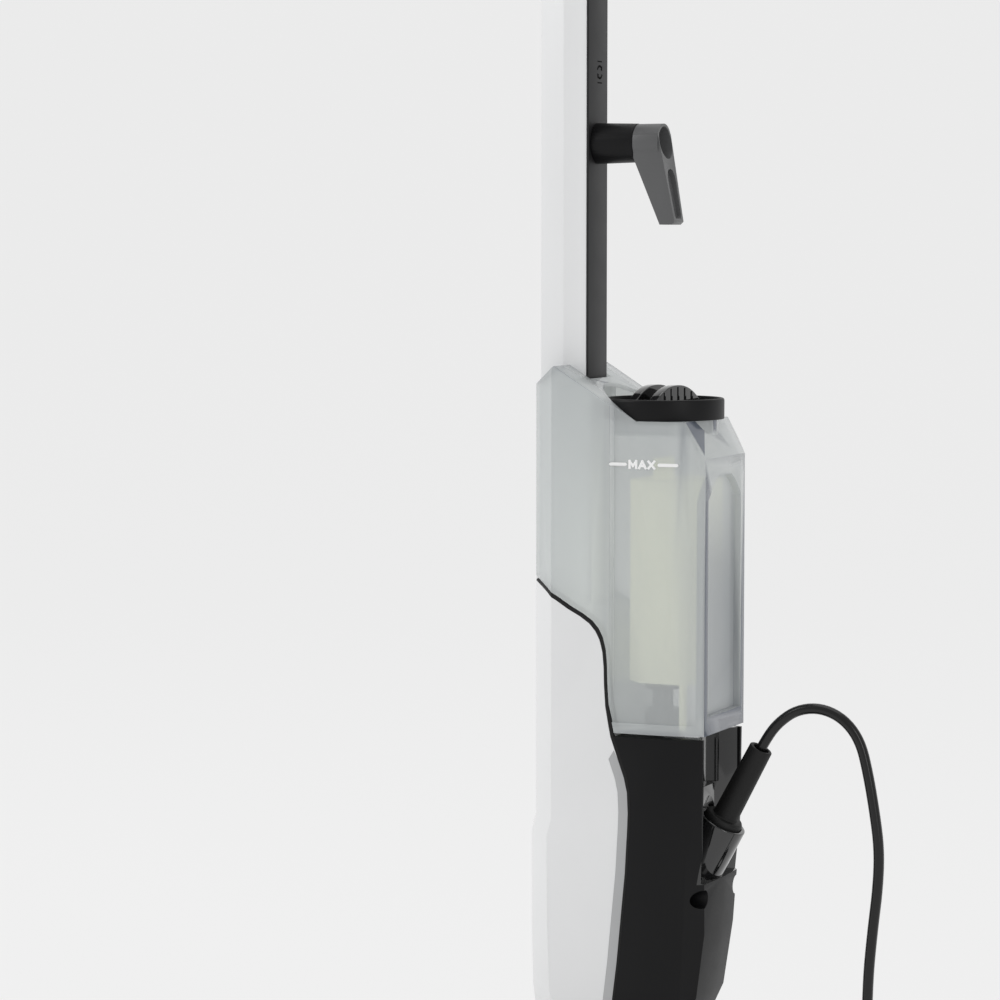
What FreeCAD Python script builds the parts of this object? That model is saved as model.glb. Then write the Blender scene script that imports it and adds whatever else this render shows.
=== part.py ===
import FreeCAD, Part
import math
import os
import re

import Sketcher

# Upright steam mop. Millimetres, +Z up, front of the mop is -Y, its left side is +X.
# The origin is on the floor under the middle of the floor nozzle. Everything above the
# swivel joint is drawn in the tube's frame, where Y = 0 is the rear face of the tube,
# and its Placement then moves it by body_shift.

V = FreeCAD.Vector
doc = FreeCAD.newDocument("SteamMop")
sheet = doc.addObject("Spreadsheet::Sheet", "Sizes")

SIZES = {
    # general
    "body_shift": -20.0, "wall": 2.5, "play": 0.3, "press_radius": 5.0, "running_play": 0.05,
    # tube: a hollow section with a blunt nose towards the front
    "tube_half": 16.0, "tube_nose_half": 8.0, "tube_nose": 38.0, "tube_flank": 18.0,
    "tube_waist": 0.8, "tube_lip": 4.3, "tube_wall": 1.6, "tube_foot": 345.0, "tube_top": 1010.0,
    "strip_half": 15.75, "strip_thick": 1.5, "strip_foot": 568.0, "strip_top": 985.0,
    # lower body outline shared by the shells and the tank
    "keel_half": 8.0, "keel_rise": 7.5, "front_half": 26.0, "shoulder_run": 19.0,
    "parting_step": 27.5, "crease_step": 1.5, "corner_step": 6.0, "rear_step": 8.0,
    # joint line between front shell and what is behind it
    "line_top": 434.0, "gasket_gap": 2.0, "gasket_drop": 1.6, "trim_width": 6.5, "trim_tip": 326.0,
    # deck and dock
    "deck_top": 335.0, "deck_line": 28.6, "dock_y": 48.0, "dock_spout": 6.0, "dock_flange": 14.0, "dock_rise": 10.0,
    # tank
    "tank_foot": 337.5, "tank_gap": 2.5, "tank_wall": 2.2, "tank_back": 91.5, "tank_lip": 93.0,
    "tank_step": 2.2, "tank_step_run": 2.5, "tank_corner": 86.0, "tank_band": 7.0,
    "ear_top": 577.6, "ear_front": 564.9, "ear_peak": -12.0, "shelf": 542.3, "shelf_front": 45.0,
    "shelf_back": 78.0, "lip_height": 516.0, "grip_half": 30.0, "grip_crown": 12.0,
    "grip_side": 491.0, "grip_top": 506.5, "grip_floor": 86.5, "grip_foot": 349.5,
    "neck_y": 48.0, "neck_radius": 34.0, "neck_depth": 10.0,
    # cap
    "cap_radius": 39.8, "cap_height": 13.9, "cap_lip": 2.6, "cap_floor": 4.0, "cap_plug": 33.0,
    "cap_arch": 22.8, "cap_bar": 7.0, "cap_bar_gap": 8.0, "cap_bar_half": 29.0, "cap_bar_turn": -12.0,
    # cartridge and valve
    "cartridge_half": 30.0, "cartridge_front": 31.5, "cartridge_back": 83.0, "cartridge_cut": 12.0,
    "cartridge_foot": 369.5, "cartridge_top": 503.0,
    "valve_radius": 12.0, "valve_bore": 7.6, "seat_height": 12.0, "seat_hole": 4.0,
    "poppet_radius": 6.0, "poppet_thick": 2.5, "poppet_travel": 3.0, "spring_length": 11.0,
    # cable inlet
    "inlet_half": 33.0, "inlet_front": 62.0, "inlet_foot": 239.0, "channel_half": 19.0,
    "collar_y": 91.0, "collar_height": 276.7, "collar_tilt": 28.0, "collar_radius": 16.5,
    "collar_length": 42.0, "flange_radius": 13.5, "flange_thick": 4.0, "relief_radius": 7.85,
    "relief_length": 57.0, "relief_mouth": 5.4, "relief_depth": 5.0, "cord_radius": 3.5,
    "scoop_x": 14.0, "scoop_y": 78.0, "boss_radius": 4.0,
    "screw_height": 229.0, "screw_shank": 3.0, "screw_neck": 2.0, "screw_x": 29.0, "screw_well": 6.2, "screw_head": 5.4,
    # lower cord hook
    "hook_height": 723.7, "hook_base_foot": 13.5, "hook_base_tip": 12.75, "hook_base_length": 29.4,
    "hook_hub": 12.5, "hook_hub_end": 47.3, "hook_well": 10.6, "hook_well_floor": 35.3,
    "hook_tip_height": 670.0, "hook_tip_half": 8.0, "hook_slot_half": 6.6, "hook_slot_top": 17.0,
    "hook_slot_depth": 3.0, "hook_arm_end": 58.0, "hook_arm_thick": 10.6,
    "upper_hook_height": 935.0, "upper_hook_reach": 44.0, "upper_hook_rise": 48.0,
    # handle
    "overall_height": 1185.0, "handle_foot": 985.0, "handle_wall": 2.5, "trigger_half": 8.5,
    "trigger_pivot": 1104.0, "trigger_pivot_y": 0.0, "trigger_foot": 1058.0, "pin_radius": 2.0,
    # floor nozzle and swivel
    "nozzle_half_width": 157.0, "nozzle_half_depth": 105.0, "cloth_thick": 6.0,
    "base_top": 14.0, "cover_top": 30.0, "hump_top": 42.0, "pitch_height": 52.0,
    "roll_height": 84.0, "knuckle_half": 18.0, "ear_thick": 9.0, "knuckle_radius": 12.0,
    "yoke_top": 112.0, "pin_bore": 3.0,
    # inside the body
    "boiler_half": 21.0, "boiler_front": -8.0, "boiler_back": 30.0, "boiler_foot": 150.0,
    "boiler_top": 232.0, "pump_x": -20.0, "pump_y": 4.0, "pump_radius": 13.0,
    "pump_foot": 256.0, "pump_top": 308.0, "hose_radius": 3.0, "board_y": 44.0,
    "board_half": 24.0, "board_foot": 150.0, "board_top": 240.0, "chassis_front": -24.0,
    "chassis_thick": 3.0, "chassis_half": 22.0,
    # cord coil
    "coil_inner": 24.4, "coil_outer": 59.6, "coil_low": 1.6, "coil_high": 30.0,
    "tie_thick": 1.4, "tie_slack": 1.2, "tie_width": 14.0, "plug_radius": 18.0, "plug_length": 34.0, "plug_taper": 22.0,
    "plug_pin_radius": 2.4, "plug_pin_length": 19.0, "plug_pin_gap": 9.5,
}

# Body outline by height: height, front face, half width, crease, rear corner, back face,
# and how far the back face stops short of the side.
LEVEL_KEYS = ("height", "front", "side", "crease", "corner", "back", "turn")
LEVELS = {
    "rim": (452.0, -33.0, 44.0, 66.5, 80.0, 90.5, 8.0),
    "deck": (337.5, -33.0, 44.0, 66.5, 80.0, 90.5, 8.0),
    "brow": (277.0, -33.0, 44.0, 65.5, 80.0, 90.0, 8.5),
    "chest": (266.0, -36.0, 44.5, 65.0, 79.8, 89.8, 10.0),
    "gland": (240.0, -36.0, 44.0, 63.0, 79.2, 89.8, 14.0),
    "calf": (205.0, -36.0, 43.3, 59.5, 77.8, 88.6, 17.0),
    "ankle": (162.0, -35.0, 42.0, 53.5, 75.0, 82.5, 17.0),
    "sole": (112.0, -29.0, 36.0, 40.0, 56.0, 60.0, 14.0),
}
for level_name, level_values in LEVELS.items():
    for key, value in zip(LEVEL_KEYS, level_values):
        SIZES[level_name + "_" + key] = value

for row, (alias, value) in enumerate(SIZES.items(), start=1):
    sheet.set("A%d" % row, alias)
    sheet.set("B%d" % row, str(value))
    sheet.setAlias("B%d" % row, alias)
doc.recompute()

# Joint line from the front lip down to the sole, (y, height): a shallow fall under the tank's
# ear, a round turn down to the deck, and a long lean along the rear housing.
EAR_LINE = [("rim_front", "line_top"), ("-21.5", "line_top - 5"), ("-10.8", "line_top - 10.7"),
            ("-2.3", "line_top - 16"), ("6.8", "line_top - 20.7"), ("13.3", "line_top - 25"),
            ("17.8", "line_top - 30"), ("20.7", "line_top - 35.5")]
TURN_LINE = [("22.8", "line_top - 43.5"), ("23.7", "line_top - 53"), ("24", "line_top - 65"),
             ("24.9", "line_top - 79"), ("27.2", "line_top - 92")]
LEAN_LINE = [("33.9", "line_top - 114"), ("38.2", "line_top - 126"), ("40.3", "line_top - 135.5"),
             ("40.9", "line_top - 149"), ("40.4", "line_top - 166"), ("39", "line_top - 189"),
             ("37.2", "line_top - 209"), ("35.2", "line_top - 225.5"), ("32.7", "line_top - 250"),
             ("29.6", "line_top - 273"), ("22", "sole_height")]
JOINT_LINE = EAR_LINE + TURN_LINE + [("deck_line", "deck_top")] + LEAN_LINE


def ref(text):
    """Point each size named in an expression at its cell."""
    return re.sub(r"[a-z][a-z_]*", lambda m: "Sizes." + m.group() if m.group() in SIZES else m.group(),
                  str(text))


def size(text):
    """The present value of an expression of sizes."""
    return float(sheet.evalExpression(ref("0.0 + (%s)" % text)))


def bind(obj, **values):
    for name, text in values.items():
        obj.setExpression(name.replace("__", "."), ref(text))
    return obj


def circle(x, y, radius):
    return ("circle", x, y, radius)


def draw(sketch, loops):
    """Closed polygons and circles, every point and radius tied to the sheet."""
    for loop in loops:
        first = sketch.GeometryCount
        if loop[0] == "circle":
            _, x, y, radius = loop
            centre = V(size(x), size(y), 0)
            sketch.addGeometry(Part.Circle(centre, V(0, 0, 1), size(radius)), False)
            marks = [("DistanceX", first, 3, x), ("DistanceY", first, 3, y)]
            tie = sketch.addConstraint(Sketcher.Constraint("Radius", first, size(radius)))
            sketch.setExpression("Constraints[%d]" % tie, ref(radius))
        else:
            spots = [V(size(x), size(y), 0) for x, y in loop]
            count = len(loop)
            for i, spot in enumerate(spots):
                sketch.addGeometry(Part.LineSegment(spot, spots[(i + 1) % count]), False)
            for i in range(count):
                following = first + (i + 1) % count
                sketch.addConstraint(Sketcher.Constraint("Coincident", first + i, 2, following, 1))
            marks = []
            for i, (x, y) in enumerate(loop):
                marks += [("DistanceX", first + i, 1, x), ("DistanceY", first + i, 1, y)]
        for kind, item, end, text in marks:
            tie = sketch.addConstraint(Sketcher.Constraint(kind, -1, 1, item, end, size(text)))
            sketch.setExpression("Constraints[%d]" % tie, ref(text))


def sketch_on(body, plane, loops, offset):
    sketch = body.newObject("Sketcher::SketchObject", body.Name + "_sketch")
    origin = [o for o in body.Origin.OriginFeatures if o.Role == plane + "_Plane"][0]
    sketch.AttachmentSupport = [(origin, "")]
    sketch.MapMode = "FlatFace"
    sketch.setExpression("AttachmentOffset.Base.z", ref(offset))
    draw(sketch, loops)
    return sketch


def prism(name, plane, loops, low, high):
    """A pad between two positions along the plane's axis. On XZ it runs from y = low to high."""
    body = doc.addObject("PartDesign::Body", name)
    start = "-(%s)" % high if plane == "XZ" else low
    pad = body.newObject("PartDesign::Pad", name + "_pad")
    pad.Profile = sketch_on(body, plane, loops, start)
    bind(pad, Length="(%s) - (%s)" % (high, low))
    body.Tip = pad
    return body


def loft(name, sections):
    """A ruled loft through closed outlines at rising heights."""
    body = doc.addObject("PartDesign::Body", name)
    sketches = [sketch_on(body, "XY", [points], height) for height, points in sections]
    feature = body.newObject("PartDesign::AdditiveLoft", name + "_loft")
    feature.Profile = sketches[0]
    feature.Sections = sketches[1:]
    feature.Ruled = True
    body.Tip = feature
    return body


def turned(name, profile):
    """A solid of revolution about Z from (radius, height) points."""
    body = doc.addObject("PartDesign::Body", name)
    sketch = sketch_on(body, "XZ", [profile], "0")
    feature = body.newObject("PartDesign::Revolution", name + "_turn")
    feature.Profile = sketch
    feature.ReferenceAxis = (sketch, ["V_Axis"])
    feature.Angle = 360
    body.Tip = feature
    return body


def box(name, x, y, z):
    """A box from three (low, high) pairs."""
    block = doc.addObject("Part::Box", name)
    bind(block, Length="(%s) - (%s)" % (x[1], x[0]), Width="(%s) - (%s)" % (y[1], y[0]),
         Height="(%s) - (%s)" % (z[1], z[0]))
    return bind(block, Placement__Base__x=x[0], Placement__Base__y=y[0], Placement__Base__z=z[0])


def rod(name, radius, low, high, across, axis="Z"):
    """A cylinder along an axis from low to high; across holds its other two coordinates."""
    bar = doc.addObject("Part::Cylinder", name)
    bind(bar, Radius=radius, Height="(%s) - (%s)" % (high, low))
    if axis == "X":
        bar.Placement.Rotation = FreeCAD.Rotation(V(0, 1, 0), 90)
        return bind(bar, Placement__Base__x=low, Placement__Base__y=across[0], Placement__Base__z=across[1])
    if axis == "Y":
        bar.Placement.Rotation = FreeCAD.Rotation(V(1, 0, 0), -90)
        return bind(bar, Placement__Base__x=across[0], Placement__Base__y=low, Placement__Base__z=across[1])
    return bind(bar, Placement__Base__x=across[0], Placement__Base__y=across[1], Placement__Base__z=low)


def fuse(name, *parts):
    joined = doc.addObject("Part::MultiFuse", name)
    joined.Shapes = list(parts)
    return joined


def common(name, first, second):
    shared = doc.addObject("Part::Common", name)
    shared.Base = first
    shared.Tool = second
    return shared


def cut(name, base, *tools):
    """Take one or more tools away from the base."""
    for index, tool in enumerate(tools):
        trimmed = doc.addObject("Part::Cut", "%s_cut%d" % (name, index))
        trimmed.Base = base
        trimmed.Tool = tool
        base = trimmed
    return base


def group(name, *parts):
    """Several separate solids in one node."""
    bundle = doc.addObject("Part::Compound", name)
    bundle.Links = list(parts)
    return bundle


def tilt(obj, angle, x, y, z):
    """Lean a Z-axis piece back by an angle about X and stand its foot at a point."""
    obj.Placement.Rotation = FreeCAD.Rotation(V(1, 0, 0), -size(angle))
    return bind(obj, Placement__Base__x=x, Placement__Base__y=y, Placement__Base__z=z)


def shell_copy(name, shape):
    """A plain feature for a shape that no parametric feature makes."""
    feature = doc.addObject("Part::Feature", name)
    feature.Shape = shape
    return feature


NODES = []

# Handle screws: (height, y of the seat under the head).
HANDLE_SCREWS = [("1145", "14"), ("1030", "-2")]


def node(label, obj, in_tube_frame=True):
    """Name a finished sub-part; those of the upper machine move to the machine's place."""
    obj.Label = label
    NODES.append(obj)
    if in_tube_frame:
        bind(obj, Placement__Base__y=(obj_y(obj) + " + body_shift"))
    return obj


def obj_y(obj):
    """The Y expression that a placed piece already has, or zero."""
    for path, text in obj.ExpressionEngine:
        if path.lstrip(".") == "Placement.Base.y":
            return "(%s)" % text.replace("Sizes.", "")
    return "0"


def mirrored(half):
    """Close a half outline given from front to rear by its mirror image in X."""
    other = [("-(%s)" % x, y) for x, y in reversed(half) if x != "0"]
    return half + other


def flank(level, inset):
    """The outline's side points from the shoulder to the rear corner."""
    side = level + "_side"
    return [
        ("%s - %s" % (side, inset), "%s_front + shoulder_run + 0.5 * %s" % (level, inset)),
        ("%s - %s" % (side, inset), "parting_step"),
        ("%s - crease_step - %s" % (side, inset), level + "_crease"),
        ("%s - corner_step - %s" % (side, inset), "%s_corner - 0.4 * %s" % (level, inset)),
        ("%s - %s_turn - 0.7 * %s" % (side, level, inset), "%s_back - %s" % (level, inset)),
    ]


def body_outline(level, inset="0"):
    front = [
        ("keel_half - 0.4 * %s" % inset, "%s_front - keel_rise + %s" % (level, inset)),
        ("front_half - 0.6 * %s" % inset, "%s_front + %s" % (level, inset)),
    ]
    return mirrored(front + flank(level, inset) + [("0", "%s_back + 1 - %s" % (level, inset))])


def body_loft(name, inset="0", foot="sole_height"):
    order = ["sole", "ankle", "calf", "gland", "chest", "brow", "deck", "rim"]
    sections = [(level + "_height", body_outline(level, inset)) for level in order]
    sections[0] = (foot, sections[0][1])
    return loft(name, sections)


def side_prism(name, points):
    """A slab across the whole width from an outline in (y, height)."""
    return prism(name, "YZ", [points], "-200", "200")


def shifted(points, along, up):
    return [("%s + %s" % (y, along), "%s + %s" % (z, up)) for y, z in points]


def tube_outline(inset="0"):
    half = [
        ("tube_nose_half - 0.6 * (%s)" % inset, "-tube_nose + (%s)" % inset),
        ("tube_half - (%s)" % inset, "-tube_flank"),
        ("tube_half - tube_waist - (%s)" % inset, "-0.6 * tube_flank"),
        ("tube_half - (%s)" % inset, "-tube_lip"),
        ("tube_half - (%s)" % inset, "-strip_thick - (%s)" % inset),
    ]
    return mirrored(half)


# ---------------------------------------------------------------- floor nozzle

def nozzle_outline(inset="0"):
    half = [
        ("nozzle_half_width - 42 - %s" % inset, "-nozzle_half_depth + %s" % inset),
        ("nozzle_half_width - 12 - %s" % inset, "-nozzle_half_depth + 9 + 0.8 * %s" % inset),
        ("nozzle_half_width - %s" % inset, "-nozzle_half_depth + 34"),
        ("nozzle_half_width - 4 - %s" % inset, "-nozzle_half_depth + 62"),
        ("nozzle_half_width - 50 - %s" % inset, "nozzle_half_depth - 26 - 0.5 * %s" % inset),
        ("nozzle_half_width - 66 - %s" % inset, "nozzle_half_depth - 7 - 0.8 * %s" % inset),
        ("nozzle_half_width - 92 - %s" % inset, "nozzle_half_depth - %s" % inset),
    ]
    return mirrored(half)


def make_nozzle():
    cloth_top = "cloth_thick"
    node("floor_cloth", prism("cloth", "XY", [nozzle_outline()], "0", cloth_top), False)
    strips = [box("strip_front", ("-105", "105"), ("-80", "-60"), ("cloth_thick", "cloth_thick + 1")),
              box("strip_rear", ("-70", "70"), ("48", "68"), ("cloth_thick", "cloth_thick + 1"))]
    node("hook_loop_strips", group("strips", *strips), False)
    plate = prism("base_plate", "XY", [nozzle_outline("2")], "cloth_thick + 1", "base_top")
    chamber = box("chamber", ("-100", "100"), ("-34", "34"), ("cloth_thick + 0.5", "base_top - 3"))
    slots = []
    for index in range(7):
        middle = "%g" % (-75 + 25 * index)
        reach = (middle + " - 8", middle + " + 8")
        slots.append(box("steam_slot%d" % index, reach, ("-6", "6"), ("base_top - 4", "base_top + 1")))
    places = (("112", "-58"), ("-112", "-58"), ("70", "56"), ("-70", "56"))
    holes = [rod("base_hole%d" % i, "screw_shank", "cloth_thick", "base_top + 1", place)
             for i, place in enumerate(places)]
    node("nozzle_base", cut("base", plate, chamber, *slots, *holes), False)
    manifold = cut("manifold_body",
                   box("manifold_block", ("-90", "90"), ("-12", "12"), ("base_top", "base_top + 10")),
                   box("manifold_bore", ("-86", "86"), ("-8", "8"), ("base_top - 1", "base_top + 7")))
    node("steam_manifold", manifold, False)
    middle_height = "0.5 * (base_top + cover_top)"
    outer = loft("cover_outer", [("base_top", nozzle_outline()), (middle_height, nozzle_outline("1")),
                                 ("cover_top - 2", nozzle_outline("8")), ("cover_top", nozzle_outline("22"))])
    inner = loft("cover_inner", [("base_top - 1", nozzle_outline("wall")),
                                 ("base_top + 4", nozzle_outline("1 + wall")),
                                 ("cover_top - 2 - wall", nozzle_outline("10 + wall")),
                                 ("cover_top - wall", nozzle_outline("24"))])
    hump_low = [("42", "-46"), ("42", "46"), ("-42", "46"), ("-42", "-46")]
    hump_high = [("30", "-22"), ("30", "20"), ("-30", "20"), ("-30", "-22")]
    hump = loft("hump", [("cover_top - 5", hump_low), ("hump_top", hump_high)])
    ears = []
    for side, name in ((1, "left"), (-1, "right")):
        low = "knuckle_half + 0.5" if side > 0 else "-knuckle_half - 0.5 - ear_thick"
        high = "knuckle_half + 0.5 + ear_thick" if side > 0 else "-knuckle_half - 0.5"
        boss = rod("ear_boss_" + name, "knuckle_radius", low, high, ("0", "pitch_height"), "X")
        web = box("ear_web_" + name, (low, high), ("-knuckle_radius", "knuckle_radius"),
                  ("hump_top - 5", "pitch_height"))
        ears.append(fuse("ear_" + name, boss, web))
    well = box("knuckle_well", ("-knuckle_half - 0.4", "knuckle_half + 0.4"), ("-21", "19"),
               ("pitch_height - 16", "cover_top + 80"))
    bore = rod("ear_bore", "press_radius", "-60", "60", ("0", "pitch_height"), "X")
    hollow = cut("cover_hollow", outer, inner)
    cover = cut("cover", fuse("cover_sum", hollow, hump, *ears), well, bore)
    node("nozzle_cover", cover, False)
    screws = [rod("base_screw%d" % i, "screw_shank", "cloth_thick + 2", "base_top + 9", place)
              for i, place in enumerate(places)]
    node("nozzle_screws", group("base_screws", *screws), False)
    ear_end = "knuckle_half + 0.5 + ear_thick"
    pin = rod("pitch_pin_bar", "press_radius", "-(%s)" % ear_end, ear_end, ("0", "pitch_height"), "X")
    passage = rod("pitch_pin_bore", "pin_bore", "-60", "60", ("0", "pitch_height"), "X")
    node("pitch_pin", cut("pitch_pin_cut", pin, passage), False)


# ---------------------------------------------------------------- swivel joint

def make_swivel():
    low = rod("knuckle_low", "knuckle_radius", "-knuckle_half", "knuckle_half", ("0", "pitch_height"), "X")
    high = rod("knuckle_high", "knuckle_radius", "-knuckle_half + 1", "knuckle_half - 1",
               ("0", "roll_height"), "Y")
    web = box("knuckle_web", ("-10", "10"), ("-10", "10"), ("pitch_height", "roll_height"))
    reach = "press_radius + running_play"
    bore_low = rod("knuckle_bore_low", reach, "-40", "40", ("0", "pitch_height"), "X")
    bore_high = rod("knuckle_bore_high", reach, "-40", "40", ("0", "roll_height"), "Y")
    riser = rod("knuckle_riser", "pin_bore", "pitch_height", "roll_height", ("0", "0"))
    seats = [rod("seal_seat%d" % i, "8", a, b, ("0", "pitch_height"), "X")
             for i, (a, b) in enumerate((("knuckle_half - 2", "knuckle_half + 1"),
                                         ("-knuckle_half - 1", "-knuckle_half + 2")))]
    knuckle = cut("knuckle_body", fuse("knuckle_sum", low, high, web), bore_low, bore_high, riser, *seats)
    node("knuckle", knuckle, False)
    seals = []
    for index, (a, b) in enumerate((("knuckle_half - 2", "knuckle_half - 0.2"),
                                    ("-knuckle_half + 0.2", "-knuckle_half + 2"))):
        loops = [circle("0", "pitch_height", "8"), circle("0", "pitch_height", "press_radius + 0.35")]
        seals.append(prism("knuckle_seal%d" % index, "YZ", loops, a, b))
    node("knuckle_seals", group("seal_pair", *seals), False)
    ears = []
    for name, a, b in (("front", "-knuckle_half - 8", "-knuckle_half + 0.5"),
                       ("rear", "knuckle_half - 0.5", "knuckle_half + 8")):
        boss = rod("yoke_boss_" + name, "knuckle_radius - 1", a, b, ("0", "roll_height"), "Y")
        arm = box("yoke_arm_" + name, ("-knuckle_radius + 1", "knuckle_radius - 1"), (a, b),
                  ("roll_height", "yoke_top - 4"))
        ears += [boss, arm]
    plate_half = "sole_side - 8"
    foot = [(plate_half, "sole_front - 12"), (plate_half, "sole_back - 30"),
            ("-(%s)" % plate_half, "sole_back - 30"), ("-(%s)" % plate_half, "sole_front - 12")]
    plate = prism("yoke_plate", "XY", [foot], "yoke_top - 6", "yoke_top")
    bore = rod("yoke_bore", "press_radius", "-60", "60", ("0", "roll_height"), "Y")
    inlet = rod("yoke_inlet", "pin_bore + 1.5", "yoke_top - 8", "yoke_top + 1", ("0", "0"))
    node("swivel_yoke", cut("yoke", fuse("yoke_sum", plate, *ears), bore, inlet), False)
    end = "knuckle_half + 8"
    pin = rod("roll_pin_bar", "press_radius", "-(%s)" % end, end, ("0", "roll_height"), "Y")
    passage = rod("roll_pin_bore", "pin_bore", "-60", "60", ("0", "roll_height"), "Y")
    node("roll_pin", cut("roll_pin_cut", pin, passage), False)


# ---------------------------------------------------------------- shells of the machine

def front_side_points():
    return [("-80", "line_top + 17")] + JOINT_LINE + [("22", "sole_height - 5"), ("-80", "sole_height - 5")]


def make_shells():
    behind = shifted(JOINT_LINE, "gasket_gap", "gasket_drop")
    front_zone = side_prism("front_zone", front_side_points())
    roof = shifted(EAR_LINE, "-0.9 * wall", "-wall")
    turn_y, turn_z = TURN_LINE[1]
    hollow_points = ([("-80", "line_top + 17 - wall")] + roof
                     + [(turn_y + " - wall", turn_z), (turn_y + " - wall", "deck_top - wall"),
                        ("160", "deck_top - wall"),
                        ("160", "sole_height - 20"), ("-80", "sole_height - 20")])
    hollow_zone = side_prism("hollow_zone", hollow_points)
    inner = body_loft("body_inner", "wall", "sole_height + wall")
    hollow = common("body_hollow", inner, hollow_zone)
    tube_hole = prism("tube_hole", "XY", [tube_outline("-play")], "tube_foot - 20", "line_top + 60")
    trim_points = ([("deck_line + 2.5", "trim_tip")] + LEAN_LINE + [("22 - trim_width", "sole_height")]
                   + shifted(list(reversed(LEAN_LINE[:-1])), "-trim_width", "0"))
    trim_zone = side_prism("trim_zone", trim_points)
    front_solid = common("front_solid", body_loft("body_outer_front"), front_zone)
    shell = cut("front_shell_body", front_solid, hollow, tube_hole, trim_zone)
    node("front_shell", shell)
    for name, low, high in (("trim_left", "0", "80"), ("trim_right", "-80", "0")):
        half = box(name + "_half", (low, high), ("-10", "60"), ("sole_height", "line_top"))
        band = common(name + "_band", common(name + "_solid", body_loft(name + "_loft"), trim_zone), half)
        node(name, cut(name + "_body", band, body_loft(name + "_inner", "wall", "sole_height - 1")))
    gasket_points = JOINT_LINE + list(reversed(behind[:-1] + [("22 + gasket_gap", "sole_height")]))
    seal_solid = common("gasket_solid", body_loft("gasket_loft"), side_prism("gasket_zone", gasket_points))
    seal = cut("gasket", seal_solid, body_loft("gasket_inner", "wall", "sole_height - 1"), tube_hole)
    node("shell_gasket", seal)
    lean = shifted(LEAN_LINE[:-1], "gasket_gap", "gasket_drop")
    rear_points = ([("deck_line + gasket_gap", "deck_top")] + lean
                   + [("22 + gasket_gap", "sole_height"), ("22 + gasket_gap", "sole_height - 5"),
                      ("160", "sole_height - 5"), ("160", "deck_top")])
    rear_solid = common("rear_solid", body_loft("body_outer_rear"), side_prism("rear_zone", rear_points))
    pocket = box("inlet_pocket", ("-inlet_half", "inlet_half"), ("inlet_front", "140"),
                 ("inlet_foot", "deck_top + 10"))
    sleeve = collar_bore("collar_hole")
    dock_hole = rod("dock_hole", "dock_spout + 3", "deck_top - 10", "deck_top + 1", ("0", "dock_y"))
    wells = [rod("screw_well%d" % i, "screw_well", "50", "120", (x, "screw_height"), "Y")
             for i, x in enumerate(("screw_x", "-screw_x"))]
    tubes = [rod("screw_tube%d" % i, "screw_well + 2", "board_y + 8", "95", (x, "screw_height"), "Y")
             for i, x in enumerate(("screw_x", "-screw_x"))]
    tower = common("screw_towers", fuse("tower_pair", *tubes), body_loft("tower_limit"))
    housing = cut("rear_shell", rear_solid, hollow)
    housing = cut("rear_housing_body", fuse("rear_sum", housing, tower), pocket, sleeve, dock_hole, *wells)
    node("rear_housing", housing)
    holders = [(x, "screw_height", "54") for x in ("screw_x", "-screw_x")]
    holders += [("0", z, y) for z, y in HANDLE_SCREWS]
    node("case_screws", group("case_screw_set", *[case_screw(i, *spot) for i, spot in enumerate(holders)]))
    make_inlet()


def case_screw(index, x, z, head_foot):
    """A self-tapping case screw pointing to the front."""
    tag = "case_screw%d" % index
    head = rod(tag + "_head", "screw_head", head_foot, head_foot + " + 4", (x, z), "Y")
    shank = rod(tag + "_shank", "screw_neck", head_foot + " - 18", head_foot, (x, z), "Y")
    drive = rod(tag + "_drive", "2.4", head_foot + " + 2.5", head_foot + " + 5", (x, z), "Y")
    return cut(tag, fuse(tag + "_sum", head, shank), drive)


def collar_bore(name):
    """The slanting hole that takes the cord's collar."""
    bore = turned(name, [("0", "-collar_length"), ("collar_radius", "-collar_length"),
                         ("collar_radius", "60"), ("0", "60")])
    return tilt(bore, "collar_tilt", "0", "collar_y", "collar_height")


def make_inlet():
    block = common("inlet_block", body_loft("inlet_loft"),
                   box("inlet_limits", ("-inlet_half", "inlet_half"), ("inlet_front", "140"),
                       ("inlet_foot", "deck_top")))
    channel = rod("inlet_scoop", "channel_half", "-60", "90", ("0", "0"))
    tilt(channel, "0", "0", "inlet_front + channel_half + wall", "300")
    flare = [("inlet_half + 6", "140"), ("inlet_half + 6", "gland_back + 2.5"), ("scoop_x", "scoop_y"),
             ("scoop_x - 4", "inlet_front + channel_half")]
    mouth = prism("inlet_mouth", "XY", [mirrored(flare)], "inlet_foot - 20", "deck_top + 60")
    ramp = side_prism("inlet_ramp", [("inlet_front - 30", "inlet_foot - 60"), ("140", "inlet_foot - 60"),
                                     ("140", "inlet_foot - 12"), ("inlet_front - 30", "inlet_foot + 14")])
    hollow = cut("inlet_hollow", fuse("inlet_channel", channel, mouth), ramp)
    node("cable_inlet", cut("inlet_body", block, hollow, collar_bore("inlet_sleeve")))
    length = "collar_length"
    collar = turned("collar_turn", [("flange_radius", "0"), ("flange_radius", "-6"), ("4.5", "-6"),
                                    ("4.5", "-%s" % length), ("collar_radius", "-%s" % length),
                                    ("collar_radius", "0")])
    tilt(collar, "collar_tilt", "0", "collar_y", "collar_height")
    node("gland_collar", collar)
    relief = turned("relief_turn", [("0", "-5.9"), ("flange_radius - 0.3", "-5.9"),
                                    ("flange_radius - 0.3", "flange_thick - 2"),
                                    ("flange_radius - 1.5", "flange_thick"),
                                    ("relief_radius + 0.8", "flange_thick"), ("relief_radius", "relief_length"),
                                    ("relief_mouth", "relief_length"),
                                    ("relief_mouth", "relief_length - relief_depth"),
                                    ("0", "relief_length - relief_depth")])
    tilt(relief, "collar_tilt", "0", "collar_y", "collar_height")
    node("strain_relief", relief)


# ---------------------------------------------------------------- tube and hook

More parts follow.
